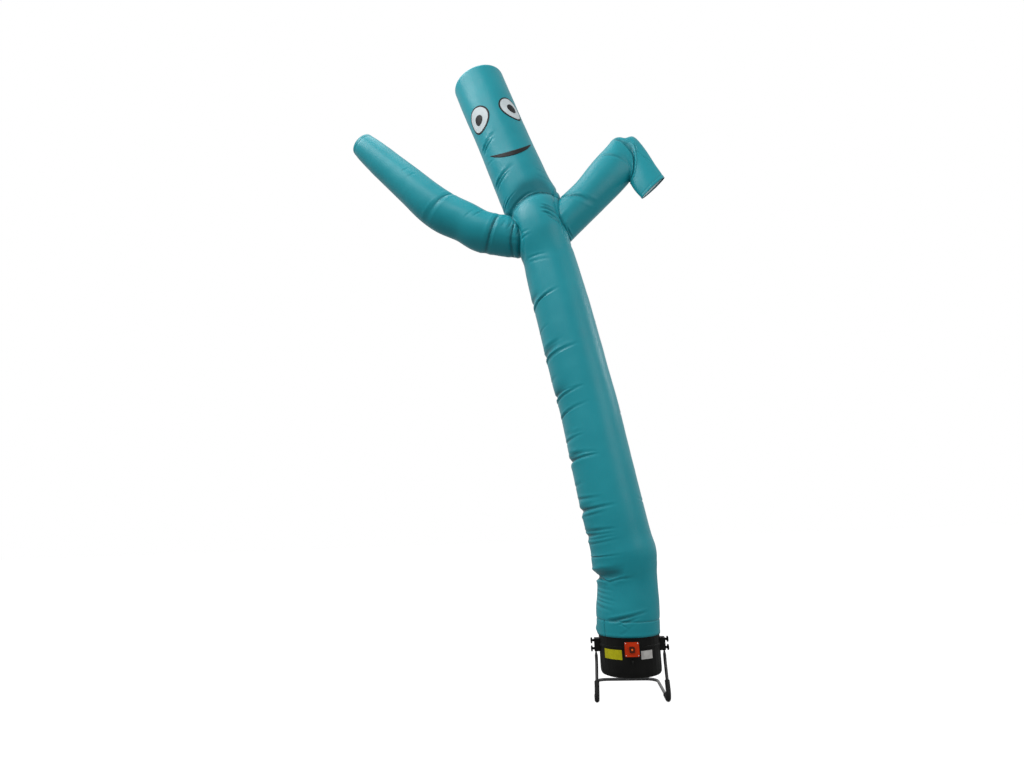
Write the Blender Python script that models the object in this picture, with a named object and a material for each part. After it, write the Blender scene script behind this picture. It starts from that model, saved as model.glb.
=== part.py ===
"""Inflatable air dancer, blown up and bent as it stands, over its floor blower.

Metres, +Z up. The cloth is built over a blower whose outlet axis is X = Y = 0, seen from -Y.
At the end everything moves together, so that the origin is the middle of the footprint, on the floor.
"""

import math

import bmesh
import bpy
from mathutils import Matrix, Vector

# Cloth
CLOTH = 0.0012              # coated nylon with its seams
GAP = 0.0003                # between pieces that touch
BODY_SIDES = 24
SLEEVE_SIDES = 18
CROWN_ROUND = 0.028         # radius of the tube's rounded shoulder
CROWN_RISE = 0.016          # how far the panel bulges

# Blower
BLOWER_TURN = math.radians(-5.5)
BARREL_SIDES = 36
BARREL_BOTTOM = 0.172
BARREL_RADIUS = 0.2105
BARREL_WALL = 0.0045
LEDGE_HEIGHT = 0.365
LEDGE_RADIUS = 0.2160
LEDGE_HALF = 0.0055
COLLAR_TOP = 0.490
INTAKE_RADIUS = 0.150
GRILLE_THICKNESS = 0.004

# Brackets, knobs and stand
BRACKET_OUTER = 0.2460
BRACKET_HALF_DEPTH = 0.031
BRACKET_LOW = 0.315
BRACKET_HIGH = 0.401
KNOB_HEIGHTS = {"upper": 0.385, "lower": 0.331}
KNOB_RADIUS = 0.021
KNOB_LOBES = 5
KNOB_SIDES = 15
SCREW_RADIUS = 0.004
LEG_X = 0.236
LEG_TOP = 0.392
LEG_FLAT_HALF = 0.0050      # half thickness of the leg's flattened end
LEG_FLAT_WIDE = 0.0165      # and half its width
TUBE_R = 0.0110             # the stand's tube
TUBE_SIDES = 12
FOOT_R = 0.0170             # rubber sleeve on the front bend
STAND_LEAN = 0.012          # how far the stand leans to the viewer's left, down to the floor

# Switch plate
PLATE_WIDTH = 0.096
PLATE_HEIGHT = 0.092
PLATE_MIDDLE = 0.3595
PLATE_FRONT = 0.2285        # distance of its face from the outlet axis
PLATE_THICKNESS = 0.0030
BUTTON_RADIUS = 0.0065
BUTTON_TRAVEL = 0.003

PANEL = (0.060, 0.052, 0.0020)      # width, height, thickness
BEZEL = (0.036, 0.038, 0.0080)
PLATE_SCREW = 0.0036
LABEL_THICKNESS = 0.0008
GLAND_HEIGHT = 0.284

# Face
EYE_RIM = 0.009             # black outline that shows round the white
EYES = (
    # name, turn, height, width, tall, tilt, pupil's turn, height, width, tall
    ("left", 41.5, 4.642, 0.176, 0.236, -24.0, 43.0, 4.658, 0.072, 0.096),
    ("right", -36.5, 4.636, 0.176, 0.232, 25.0, -39.0, 4.657, 0.072, 0.096),
)
# turns of its ends, heights of its ends, sag, thickness
MOUTH = (54.0, -50.0, 4.327, 4.296, 0.100, 0.034)

FRONT = Vector((0.0, -1.0, 0.0))
UP = Vector((0.0, 0.0, 1.0))

# Centre and radius of the body tube, from the hem up
BODY_AXIS = (
    # x, y, z, radius
    (0.000, 0.000, 0.430, 0.2145),
    (0.000, 0.000, 0.470, 0.2185),
    (0.000, 0.000, 0.515, 0.2205),
    (0.003, 0.000, 0.590, 0.2220),
    (0.010, 0.000, 0.660, 0.2180),
    (0.014, 0.000, 0.785, 0.2120),
    (0.008, 0.000, 0.865, 0.2250),
    (0.003, 0.000, 0.925, 0.2325),
    (0.001, 0.000, 0.990, 0.2355),
    (-0.014, 0.003, 1.071, 0.2285),
    (-0.062, 0.019, 1.334, 0.2280),
    (-0.119, 0.054, 1.705, 0.2280),
    (-0.173, 0.098, 2.067, 0.2265),
    (-0.231, 0.128, 2.374, 0.2280),
    (-0.308, 0.177, 2.807, 0.2280),
    (-0.386, 0.207, 3.203, 0.2215),
    (-0.415, 0.219, 3.353, 0.2130),
    (-0.462, 0.231, 3.518, 0.2160),
    (-0.525, 0.246, 3.780, 0.2330),
    (-0.557, 0.252, 3.911, 0.2370),
    (-0.617, 0.263, 4.086, 0.2340),
    (-0.748, 0.284, 4.476, 0.2275),
    (-0.915, 0.302, 4.963, 0.2290),
    (-0.975, 0.310, 5.146, 0.2290),
)

# Main folds of the body tube: a trough with a low ridge on either side
BODY_FOLDS = (
    # height, turn (deg), half span (deg), depth, half width, rise over the half span
    (0.834, 88.0, 78.0, 0.0270, 0.030, 0.020),
    (1.131, 100.0, 60.0, 0.0100, 0.020, 0.010),
    (1.303, 95.0, 55.0, 0.0130, 0.024, 0.010),
    (1.670, 100.0, 62.0, 0.0130, 0.024, 0.015),
    (2.188, 98.0, 64.0, 0.0140, 0.026, 0.025),
    (2.510, 96.0, 66.0, 0.0150, 0.026, 0.030),
    (2.973, 104.0, 60.0, 0.0110, 0.024, 0.030),
    (3.896, 0.0, 84.0, 0.0420, 0.034, 0.000),
)

LEFT_SLEEVE = (
    # x, y, z, radius
    (-0.507, 0.232, 3.559, 0.170),
    (-0.677, 0.232, 3.570, 0.170),
    (-0.816, 0.233, 3.597, 0.172),
    (-0.974, 0.242, 3.643, 0.174),
    (-1.112, 0.253, 3.736, 0.171),
    (-1.279, 0.270, 3.834, 0.175),
    (-1.405, 0.279, 3.936, 0.171),
    (-1.559, 0.288, 4.091, 0.158),
    (-1.696, 0.302, 4.230, 0.147),
    (-1.844, 0.316, 4.382, 0.136),
    (-1.966, 0.325, 4.506, 0.121),
    (-2.019, 0.329, 4.563, 0.108),
)

LEFT_FOLDS = (
    # distance along the sleeve, turn, half span, depth, half width, rise
    (0.207, 40.0, 120.0, 0.0150, 0.022, 0.030),
    (0.378, 35.0, 130.0, 0.0180, 0.022, -0.049),
    (0.885, 5.0, 100.0, 0.0120, 0.026, -0.043),
)

# Cross-sections of the folded right sleeve, from inside the body to the hand.
# Each one spans from a point on the sleeve's inner side to one on its outer side.
RIGHT_SECTIONS = (
    # inner x, inner z, outer x, outer z, y, depth
    (-0.389, 3.350, -0.456, 3.737, 0.226, 0.340),
    (-0.230, 3.510, -0.303, 3.892, 0.218, 0.346),
    (-0.073, 3.659, -0.152, 4.037, 0.211, 0.336),
    (0.082, 3.809, -0.016, 4.206, 0.204, 0.330),
    (0.222, 3.940, 0.122, 4.352, 0.193, 0.300),
    (0.293, 4.010, 0.198, 4.430, 0.177, 0.235),
    (0.296, 4.012, 0.282, 4.414, 0.165, 0.195),
    (0.299, 4.010, 0.364, 4.424, 0.152, 0.165),
    (0.300, 3.974, 0.445, 4.287, 0.124, 0.135),
    (0.326, 3.896, 0.508, 4.133, 0.099, 0.122),
    (0.373, 3.807, 0.574, 3.985, 0.073, 0.100),
)

RIGHT_FOLDS = (
    # distance along the sleeve, turn, half span, depth, half width, rise
    (0.385, 25.0, 75.0, 0.0120, 0.022, 0.050),
    (0.890, 25.0, 75.0, 0.0100, 0.020, 0.050),
)


def clear_scene():
    for item in list(bpy.data.objects):
        bpy.data.objects.remove(item, do_unlink=True)


def finish(name, colour, roughness, metallic=0.0):
    material = bpy.data.materials.new(name)
    material.use_nodes = True
    shader = material.node_tree.nodes["Principled BSDF"]
    shader.inputs["Base Color"].default_value = (*colour, 1.0)
    shader.inputs["Roughness"].default_value = roughness
    shader.inputs["Metallic"].default_value = metallic
    material.diffuse_color = (*colour, 1.0)
    return material


def add_object(name, mesh_data, material=None, parent=None, sharp=40.0):
    """Make one object of a bmesh, with its faces pointing out."""
    bmesh.ops.recalc_face_normals(mesh_data, faces=mesh_data.faces)
    mesh = bpy.data.meshes.new(name)
    mesh_data.to_mesh(mesh)
    mesh_data.free()
    item = bpy.data.objects.new(name, mesh)
    bpy.context.collection.objects.link(item)
    if parent:
        item.parent = parent
    if material:
        mesh.materials.append(material)
        mesh.shade_smooth()
        mesh.set_sharp_from_angle(angle=math.radians(sharp))
    return item


def make_cutter(item):
    item.hide_render = True
    item.display_type = "WIRE"
    return item


def cut(item, cutter, operation="DIFFERENCE"):
    modifier = item.modifiers.new(cutter.name, "BOOLEAN")
    modifier.operation = operation
    modifier.object = cutter
    modifier.solver = "EXACT"
    return modifier


def add_rings(mesh_data, rings):
    return [[mesh_data.verts.new(point) for point in ring] for ring in rings]


def skin(mesh_data, made):
    """Triangles from ring to ring, always split the same way, so that parallel skins stay parallel."""
    for lower, upper in zip(made, made[1:]):
        for i in range(len(lower)):
            j = (i + 1) % len(lower)
            mesh_data.faces.new((lower[i], lower[j], upper[j]))
            mesh_data.faces.new((lower[i], upper[j], upper[i]))


def loft(rings, close_start=False, close_end=False, loop=False):
    """Skin a list of rings, each a list of points in the same order."""
    mesh_data = bmesh.new()
    made = add_rings(mesh_data, rings)
    skin(mesh_data, made + made[:1] if loop else made)
    if close_start:
        mesh_data.faces.new(reversed(made[0]))
    if close_end:
        mesh_data.faces.new(made[-1])
    return mesh_data


def smooth_curve(rows, position):
    """Catmull-Rom value of the rows at a position counted in rows."""
    index = min(int(position), len(rows) - 2)
    t = position - index
    before, low = rows[max(index - 1, 0)], rows[index]
    high, after = rows[index + 1], rows[min(index + 2, len(rows) - 1)]
    value = []
    for a, b, c, d in zip(before, low, high, after):
        value.append(0.5 * (2 * b + (c - a) * t + (2 * a - 5 * b + 4 * c - d) * t * t
                            + (3 * b - a - 3 * c + d) * t ** 3))
    return value


class Axis:
    """A smooth centre line with a radius, read by the distance along it."""

    STEPS = 16

    def __init__(self, rows):
        count = (len(rows) - 1) * self.STEPS
        self.values = [smooth_curve(rows, i / self.STEPS) for i in range(count + 1)]
        self.reach = [0.0]
        for a, b in zip(self.values, self.values[1:]):
            self.reach.append(self.reach[-1] + (Vector(b[:3]) - Vector(a[:3])).length)
        self.length = self.reach[-1]

    def read(self, distance):
        distance = min(max(distance, 0.0), self.length)
        index = 0
        while index < len(self.reach) - 2 and self.reach[index + 1] < distance:
            index += 1
        t = (distance - self.reach[index]) / (self.reach[index + 1] - self.reach[index])
        return [a + (b - a) * t for a, b in zip(self.values[index], self.values[index + 1])]

    def direction(self, distance):
        step = 0.02
        low = Vector(self.read(distance - step)[:3])
        high = Vector(self.read(distance + step)[:3])
        return (high - low).normalized()

    def at_height(self, height):
        index = 0
        while self.values[index][2] < height:
            index += 1
        return self.reach[index]


def fold_profile(across):
    """A trough of depth 1 at 0, with a low ridge on either side."""
    return -math.exp(-across * across) + 0.35 * math.exp(-((abs(across) - 1.6) / 0.5) ** 2)


def fold_offset(folds, distance, turn):
    """How far the cloth stands out at a place, from the folds that cross it."""
    total = 0.0
    for place, middle, half_span, depth, half_width, rise in folds:
        side = (turn - middle + 180.0) % 360.0 - 180.0
        reach = abs(side) / half_span
        if reach < 1.0:
            fade = math.cos(reach * math.pi / 2) ** 0.8
            across = (distance - place + rise * side / half_span) / half_width
            total += depth * fade * fold_profile(across)
    return total


def stations(start, end, spacing, folds):
    """Where rings go: evenly spaced, and on the ridges and trough of each fold."""
    count = round((end - start) / spacing)
    places = [start + (end - start) * i / count for i in range(count + 1)]
    for place, _, half_span, depth, half_width, _ in folds:
        marks = (-1.6, -0.7, 0.0, 0.7, 1.6) if depth > 0.02 else (-1.5, 0.0, 1.5)
        near = [place + mark * half_width for mark in marks]
        low, high = near[0] - half_width, near[-1] + half_width
        places = [p for p in places if p in (start, end) or not low < p < high]
        places += [p for p in near if start < p < end]
    return sorted(places)


def round_ring(centre, direction, radius_at, sides, drop=0.0):
    """Ring about a centre line. Turn 0 faces the front, 90 the viewer's left on an upright tube."""
    forward = (FRONT - direction * FRONT.dot(direction)).normalized()
    left = forward.cross(direction)
    ring = []
    for i in range(sides):
        turn = 360.0 * i / sides
        radius = radius_at(turn) - drop
        angle = math.radians(turn)
        ring.append(centre + forward * radius * math.cos(angle) + left * radius * math.sin(angle))
    return ring


def tube_ring(axis, folds, distance, sides, drop=0.0):
    x, y, z, radius = axis.read(distance)
    return round_ring(Vector((x, y, z)), axis.direction(distance),
                      lambda turn: radius + fold_offset(folds, distance, turn), sides, drop)


def crown_ring(axis, bend, sides, drop=0.0):
    """Ring of the rounded shoulder under the crown panel, at bend 0 to 90 degrees round it."""
    x, y, z, radius = axis.read(axis.length)
    direction = axis.direction(axis.length - CROWN_ROUND)
    rise = (CROWN_ROUND - drop) * math.sin(math.radians(bend)) - CROWN_ROUND
    reach = radius - CROWN_ROUND + (CROWN_ROUND - drop) * math.cos(math.radians(bend))
    return round_ring(Vector((x, y, z)) + direction * rise, direction, lambda turn: reach, sides)


def section_ring(axis, folds, distance, sides, drop=0.0):
    """Ring of the folded sleeve: an oval between its inner and outer side."""
    inner_x, inner_z, outer_x, outer_z, y, depth = axis.read_section(distance)
    inner = Vector((inner_x, y, inner_z))
    outer = Vector((outer_x, y, outer_z))
    centre = (inner + outer) / 2
    across = (outer - inner) / 2
    across_unit = across.normalized()
    ring = []
    for i in range(sides):
        turn = 360.0 * i / sides
        angle = math.radians(turn)
        stand = fold_offset(folds, distance, turn) - drop
        ring.append(centre + FRONT * (depth / 2 + stand) * math.cos(angle)
                    + across_unit * (across.length + stand) * math.sin(angle))
    return ring


class SectionAxis(Axis):
    """Centre line of the folded sleeve, worked out from its cross-sections."""

    def __init__(self, sections):
        rows = []
        for inner_x, inner_z, outer_x, outer_z, y, depth in sections:
            rows.append(((inner_x + outer_x) / 2, y, (inner_z + outer_z) / 2, depth,
                         inner_x, inner_z, outer_x, outer_z))
        super().__init__(rows)

    def read_section(self, distance):
        _, y, _, depth, inner_x, inner_z, outer_x, outer_z = self.read(distance)
        return inner_x, inner_z, outer_x, outer_z, y, depth


def thin_tube(outer, inner):
    """Two-sided tube, open at both ends, of matching outer and inner rings."""
    mesh_data = bmesh.new()
    outside = add_rings(mesh_data, outer)
    inside = add_rings(mesh_data, inner)
    for rings in (outside, inside, (outside[0], inside[0]), (outside[-1], inside[-1])):
        skin(mesh_data, rings)
    return mesh_data


def ring_solid(rings):
    return loft(rings, close_start=True, close_end=True)


class Body:
    """The body tube's rings, shared by the tube, what is cut by it and what is sewn on it."""

    SPACING = 0.18
    CROWN_BENDS = (0.0, 30.0, 60.0, 90.0)

    def __init__(self):
        self.axis = Axis(BODY_AXIS)
        self.folds = [(self.axis.at_height(height), *rest) for height, *rest in BODY_FOLDS]
        self.places = stations(0.0, self.axis.length - 1.6 * CROWN_ROUND, self.SPACING, self.folds)

    def rings(self, low=0.0, high=math.inf, drop=0.0):
        return [tube_ring(self.axis, self.folds, place, BODY_SIDES, drop)
                for place in self.places if low <= place <= high]

    def crown_rings(self, drop=0.0):
        return [crown_ring(self.axis, bend, BODY_SIDES, drop) for bend in self.CROWN_BENDS]

    def point(self, distance, turn, extra):
        x, y, z, radius = self.axis.read(distance)
        direction = self.axis.direction(distance)
        forward = (FRONT - direction * FRONT.dot(direction)).normalized()
        left = forward.cross(direction)
        angle = math.radians(turn)
        return Vector((x, y, z)) + (forward * math.cos(angle) + left * math.sin(angle)) * (radius + extra)


def body_tube(body, cloth, parent):
    outer = body.rings() + body.crown_rings()
    inner = body.rings(drop=CLOTH) + body.crown_rings(drop=CLOTH)
    return add_object("body_tube", thin_tube(outer, inner), cloth, parent)


def crown_panel(body, cloth, parent):
    """Round panel over the top, bulging a little, its rim beside the tube's."""
    rim = crown_ring(body.axis, 90.0, BODY_SIDES)
    centre = sum(rim, Vector()) / len(rim)
    direction = body.axis.direction(body.axis.length - CROWN_ROUND)
    reach = (rim[0] - centre).length - GAP
    outer, inner = [], []
    for share in (1.0, 0.72, 0.4, 0.14):
        rise = CROWN_RISE * (1.0 - share * share)
        ring = [centre + (point - centre).normalized() * reach * share + direction * rise for point in rim]
        outer.append(ring)
        inner.append([point - direction * CLOTH for point in ring])
    return add_object("crown_panel", ring_solid(inner[::-1] + outer), cloth, parent)


def sleeve(name, axis, ring_at, folds, spacing, cloth, parent):
    """One sleeve from inside the body to the open hand; the body cuts its root to fit."""
    places = stations(0.0, axis.length, spacing, folds)
    outer = [ring_at(axis, folds, place, SLEEVE_SIDES) for place in places]
    inner = [ring_at(axis, folds, place, SLEEVE_SIDES, CLOTH) for place in places]
    bore = [ring_at(axis, folds, place, SLEEVE_SIDES, CLOTH) for place in places if place < 0.42]
    item = add_object(name, thin_tube(outer, inner), cloth, parent)
    return item, make_cutter(add_object("cut_" + name, ring_solid(bore), parent=parent))


def face_piece(body, name, outline, inner_gap, material, parent):
    """Cloth piece on the head: the part of a layer round it that lies inside an outline.

    The outline is a list of (turn in degrees, distance along the body).
    """
    low = min(distance for _, distance in outline)
    high = max(distance for _, distance in outline)
    below = [place for place in body.places if place < low - 0.005][-1]
    above = ([place for place in body.places if place > high + 0.005] + [math.inf])[0]
    layer = thin_tube(body.rings(below, above, -inner_gap - CLOTH), body.rings(below, above, -inner_gap))
    item = add_object(name, layer, material, parent)
    reach = 0.05
    inner = [body.point(distance, turn, -reach) for turn, distance in outline]
    outer = [body.point(distance, turn, reach) for turn, distance in outline]
    wedge = loft([inner, outer], close_start=True, close_end=True)
    caps = [face for face in wedge.faces if len(face.verts) > 4]
    bmesh.ops.triangulate(wedge, faces=caps, ngon_method="EAR_CLIP")
    cut(item, make_cutter(add_object("cut_" + name, wedge, parent=parent)), "INTERSECT")
    return item


def egg_outline(body, turn, height, width, tall, tilt, points=20):
    """Egg with its narrow end down, leaning by tilt, laid on the head."""
    place = body.axis.at_height(height)
    radius = body.axis.read(place)[3]
    outline = []
    for i in range(points):
        angle = 2 * math.pi * i / points
        up = tall / 2 * math.cos(angle)
        side = width / 2 * math.sin(angle) * (1.0 + 0.16 * math.cos(angle))
        lean = math.radians(tilt)
        across = side * math.cos(lean) + up * math.sin(lean)
        along = up * math.cos(lean) - side * math.sin(lean)
        outline.append((turn + math.degrees(across / radius), place + along))
    return outline


def smile_outline(body, columns=12):
    """Thin crescent across the front of the head, thickest in its middle."""
    left_turn, right_turn, left_height, right_height, sag, thickness = MOUTH
    left = body.axis.at_height(left_height)
    right = body.axis.at_height(right_height)
    upper, lower = [], []
    for i in range(columns + 1):
        share = i / columns
        turn = left_turn + (right_turn - left_turn) * share
        bow = 4 * share * (1 - share)
        middle = left + (right - left) * share - sag * bow
        half = 0.0015 + (thickness / 2 - 0.0015) * bow ** 0.8
        upper.append((turn, middle + half))
        lower.append((turn, middle - half))
    return upper + lower[::-1]


def turned(profile, sides, loop=False):
    """Solid turned about Z from (radius, height) points; a loop makes a ring-shaped one."""
    rings = []
    for radius, height in profile:
        rings.append([Vector((radius * math.cos(2 * math.pi * i / sides),
                              radius * math.sin(2 * math.pi * i / sides), height)) for i in range(sides)])
    return loft(rings, close_start=not loop, close_end=not loop, loop=loop)


def barrel_reach(angle):
    """Distance from the axis to the barrel's flat at an angle, in radians."""
    step = 2 * math.pi / BARREL_SIDES
    return BARREL_RADIUS * math.cos(step / 2) / math.cos((angle % step) - step / 2)


def rounded_outline(width, height, corner, steps=3):
    """Rectangle with round corners, in X and Z."""
    outline = []
    for quarter, (sx, sz) in enumerate(((1, 1), (-1, 1), (-1, -1), (1, -1))):
        for i in range(steps + 1):
            angle = math.radians(90.0 * (quarter + i / steps))
            outline.append((sx * (width / 2 - corner) + corner * math.cos(angle),
                            sz * (height / 2 - corner) + corner * math.sin(angle)))
    return outline


def slab(width, height, corner, front, thickness, middle):
    """Flat plate that faces -Y."""
    outline = rounded_outline(width, height, corner)
    faces = (-front, -front + thickness)
    return ring_solid([[Vector((x, y, middle + z)) for x, z in outline] for y in faces])


def box_between(one, other):
    mesh_data = bmesh.new()
    bmesh.ops.create_cube(mesh_data, size=1.0)
    low = Vector([min(pair) for pair in zip(one, other)])
    high = Vector([max(pair) for pair in zip(one, other)])
    place = Matrix.Translation((low + high) / 2) @ Matrix.Diagonal((*(high - low), 1.0))
    bmesh.ops.transform(mesh_data, matrix=place, verts=mesh_data.verts)
    return mesh_data


def place_along(item, location, direction):
    """Put an object whose axis is local Z at a point, facing a direction."""
    item.location = location
    item.rotation_euler = Vector(direction).to_track_quat("Z", "Y").to_euler()
    return item


def bent_points(corners, bend_steps=5):
    """Centre line of a bent tube: rows of (x, y, z, bend radius, *section) to [(point, section)]."""
    points = []
    for index, (x, y, z, radius, *section) in enumerate(corners):
        corner = Vector((x, y, z))
        if radius == 0.0:
            points.append((corner, section))
            continue
        back = (Vector(corners[index - 1][:3]) - corner).normalized()
        ahead = (Vector(corners[index + 1][:3]) - corner).normalized()
        turn = math.pi - back.angle(ahead)
        length = radius * math.tan(turn / 2)
        centre = corner + (back + ahead).normalized() * (radius / math.cos(turn / 2))
        start = corner + back * length - centre
        axis = start.cross(corner + ahead * length - centre).normalized()
        steps = max(2, round(bend_steps * turn / (math.pi / 2)))
        for i in range(steps + 1):
            points.append((centre + Matrix.Rotation(turn * i / steps, 3, axis) @ start, section))
    return points


def sweep_rings(points, sides, extra=0.0):
    """Rings along a bent tube, with a flat of the section facing down where the tube lies."""
    rings = []
    side = Vector((1.0, 0.0, 0.0))
    previous = None
    for index, (point, (half_side, half_other)) in enumerate(points):
        low = points[max(index - 1, 0)][0]
        high = points[min(index + 1, len(points) - 1)][0]
        direction = (high - low).normalized()
        if previous is not None:
            side.rotate(previous.rotation_difference(direction))
        previous = direction
        if abs(direction.z) < 0.3:
            level = direction.cross(UP).normalized()
            side = level if level.dot(side) > 0 else -level
        other = direction.cross(side)
        ring = []
        for i in range(sides):
            angle = 2 * math.pi * (i + 0.5) / sides
            ring.append(point + side * (half_side + extra) * math.cos(angle)
                        + other * (half_other + extra) * math.sin(angle))
        rings.append(ring)
    return rings


def barrel_outline(extra=0.0):
    """Outside of the housing from the bottom up, as (radius, height)."""
    collar = (BODY_AXIS[0][3] - CLOTH) * math.cos(math.pi / BODY_SIDES) - GAP
    return [
        (BARREL_RADIUS - 0.018 + extra, BARREL_BOTTOM - extra),
        (BARREL_RADIUS - 0.008 + extra, BARREL_BOTTOM + 0.004 - extra),
        (BARREL_RADIUS - 0.002 + extra, BARREL_BOTTOM + 0.015),
        (BARREL_RADIUS + extra, BARREL_BOTTOM + 0.035),
        (BARREL_RADIUS + extra, LEDGE_HEIGHT - LEDGE_HALF - 0.003 - extra),
        (LEDGE_RADIUS + extra, LEDGE_HEIGHT - LEDGE_HALF - extra),
        (LEDGE_RADIUS + extra, LEDGE_HEIGHT + LEDGE_HALF + extra),
        (collar + extra, LEDGE_HEIGHT + LEDGE_HALF + 0.003 + extra),
        (collar + extra, COLLAR_TOP + extra),
    ]


def housing(plastic, parent):
    outside = barrel_outline()
    bore = BARREL_RADIUS - BARREL_WALL
    inside = [
        (outside[-1][0] - BARREL_WALL, COLLAR_TOP),
        (bore, LEDGE_HEIGHT),
        (bore, BARREL_BOTTOM + 0.035),
        (bore - 0.010, BARREL_BOTTOM + BARREL_WALL + 0.010),
        (bore - 0.022, BARREL_BOTTOM + BARREL_WALL),
        (INTAKE_RADIUS, BARREL_BOTTOM + BARREL_WALL),
        (INTAKE_RADIUS, BARREL_BOTTOM),
    ]
    return add_object("housing", turned(outside + inside, BARREL_SIDES, loop=True), plastic, parent, 35.0)


def intake_grille(plastic, parent):
    """Round guard of rings and spokes in the housing's underside."""
    spokes = 6
    spoke_half = math.radians(2.4)
    between = 3
    rim = INTAKE_RADIUS * math.cos(math.pi / BARREL_SIDES) - GAP
    radii = (0.034, 0.066, 0.072, 0.104, 0.110, 0.138, rim)
    open_bands = (0, 2, 4)
    angles = []
    for spoke in range(spokes):
        start = 2 * math.pi * spoke / spokes
        gap = 2 * math.pi / spokes - 2 * spoke_half
        angles.append((start - spoke_half, True))
        angles += [(start + spoke_half + gap * i / between, False) for i in range(between)]
    mesh_data = bmesh.new()
    grid = [[mesh_data.verts.new((radius * math.cos(angle), radius * math.sin(angle), 0.0))
             for angle, _ in angles] for radius in radii]
    for band in range(len(radii) - 1):
        for i, (_, solid) in enumerate(angles):
            j = (i + 1) % len(angles)
            if solid or band not in open_bands:
                mesh_data.faces.new((grid[band][i], grid[band][j], grid[band + 1][j], grid[band + 1][i]))
    mesh_data.faces.new(grid[0])
    made = bmesh.ops.extrude_face_region(mesh_data, geom=list(mesh_data.faces))["geom"]
    raised = [item for item in made if isinstance(item, bmesh.types.BMVert)]
    bmesh.ops.translate(mesh_data, vec=(0.0, 0.0, GRILLE_THICKNESS), verts=raised)
    item = add_object("intake_grille", mesh_data, plastic, parent)
    item.location.z = BARREL_BOTTOM + 0.0002
    return item


def bracket(side, name, plastic, parent, barrel_cut):
    """Block on the housing's side, with a pocket for the leg's end and holes for two screws."""
    block = box_between((side * (BARREL_RADIUS - 0.012), -BRACKET_HALF_DEPTH, BRACKET_LOW),
                        (side * BRACKET_OUTER, BRACKET_HALF_DEPTH, BRACKET_HIGH))
    item = add_object(name, block, plastic, parent)
    bevel = item.modifiers.new("edges", "BEVEL")
    bevel.width = 0.005
    bevel.segments = 2
    cut(item, barrel_cut)
    thick = LEG_FLAT_HALF + GAP
    wide = LEG_FLAT_WIDE + GAP
    pocket = box_between((side * (LEG_X - thick), -wide, BRACKET_LOW - 0.01),
                         (side * (LEG_X + thick), wide, LEG_TOP + GAP))
    cut(item, make_cutter(add_object("cut_pocket_" + name, pocket, parent=parent)))
    hole_sides = 16
    hole = (SCREW_RADIUS + GAP) / math.cos(math.pi / hole_sides)
    for level, height in KNOB_HEIGHTS.items():
        drill = turned([(hole, 0.0), (hole, 0.02)], hole_sides)
        drill = make_cutter(add_object("cut_" + level + "_" + name, drill, parent=parent))
        cut(item, place_along(drill, (side * (LEG_X + 0.002), 0.0, height), (side, 0.0, 0.0)))
    return item


def clamp_knob(side, name, height, plastic, parent):
    """Lobed knob with its screw, turning about its own axis."""
    tip = LEG_X + LEG_FLAT_HALF + GAP - BRACKET_OUTER
    profile = (
        # radius, distance out from the bracket's face, share of the lobes
        (SCREW_RADIUS - 0.0010, tip, 0.0),
        (SCREW_RADIUS, tip + 0.0012, 0.0),
        (SCREW_RADIUS, GAP, 0.0),
        (0.0090, GAP, 0.0),
        (0.0080, 0.0115, 0.0),
        (KNOB_RADIUS - 0.0035, 0.0120, 1.0),
        (KNOB_RADIUS, 0.0150, 1.0),
        (KNOB_RADIUS, 0.0205, 1.0),
        (KNOB_RADIUS - 0.0030, 0.0240, 1.0),
        (0.0080, 0.0250, 0.0),
    )
    rings = []
    for radius, distance, lobes in profile:
        ring = []
        for i in range(KNOB_SIDES):
            angle = 2 * math.pi * i / KNOB_SIDES
            reach = radius * (1.0 - 0.10 * lobes * (1.0 - math.cos(KNOB_LOBES * angle)) / 2)
            ring.append(Vector((reach * math.cos(angle), reach * math.sin(angle), distance)))
        rings.append(ring)
    item = add_object(name, ring_solid(rings), plastic, parent, 50.0)
    return place_along(item, (side * BRACKET_OUTER, 0.0, height), (side, 0.0, 0.0))


def stand_corners(side):
    """Half of the stand from the leg's end to the rear bar, as bent_points reads it."""
    foot_z = FOOT_R * math.cos(math.pi / TUBE_SIDES)
    bar_z = TUBE_R * math.cos(math.pi / TUBE_SIDES)
    flat = (LEG_FLAT_HALF, LEG_FLAT_WIDE)
    round_tube = (TUBE_R, TUBE_R)
    rows = [
        (LEG_X, 0.000, LEG_TOP, 0.0, *flat),
        (LEG_X, 0.000, 0.312, 0.0, *flat),
        (LEG_X, 0.000, 0.284, 0.0, *round_tube),
        (LEG_X, 0.000, 0.250, 0.060, *round_tube),
        (0.2380, -0.150, foot_z, 0.038, *round_tube),
        (0.2370, 0.030, foot_z, 0.0, *round_tube),
        (0.2330, 0.520, bar_z, 0.085, *round_tube),
    ]
    return [(side * x - (STAND_LEAN if z < FOOT_R else 0.0), y, z, *rest) for x, y, z, *rest in rows]


def stand(steel, parent):
    corners = stand_corners(1) + stand_corners(-1)[::-1]
    rings = sweep_rings(bent_points(corners), TUBE_SIDES)
    return add_object("stand", ring_solid(rings), steel, parent)


def rubber_foot(side, name, rubber, parent):
    """Sleeve round the stand's front bend, resting on a flat of its own."""
    leg, bend, skid = stand_corners(side)[3:6]
    share = 0.50
    start = [a + (b - a) * share for a, b in zip(leg[:3], bend[:3])]
    corners = [(*start, 0.0, TUBE_R, TUBE_R), bend, (*skid[:3], 0.0, TUBE_R, TUBE_R)]
    points = bent_points(corners)
    outer = sweep_rings(points, TUBE_SIDES, FOOT_R - TUBE_R)
    inner = sweep_rings(points, TUBE_SIDES, GAP / math.cos(math.pi / TUBE_SIDES))
    return add_object(name, thin_tube(outer, inner), rubber, parent)


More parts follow.
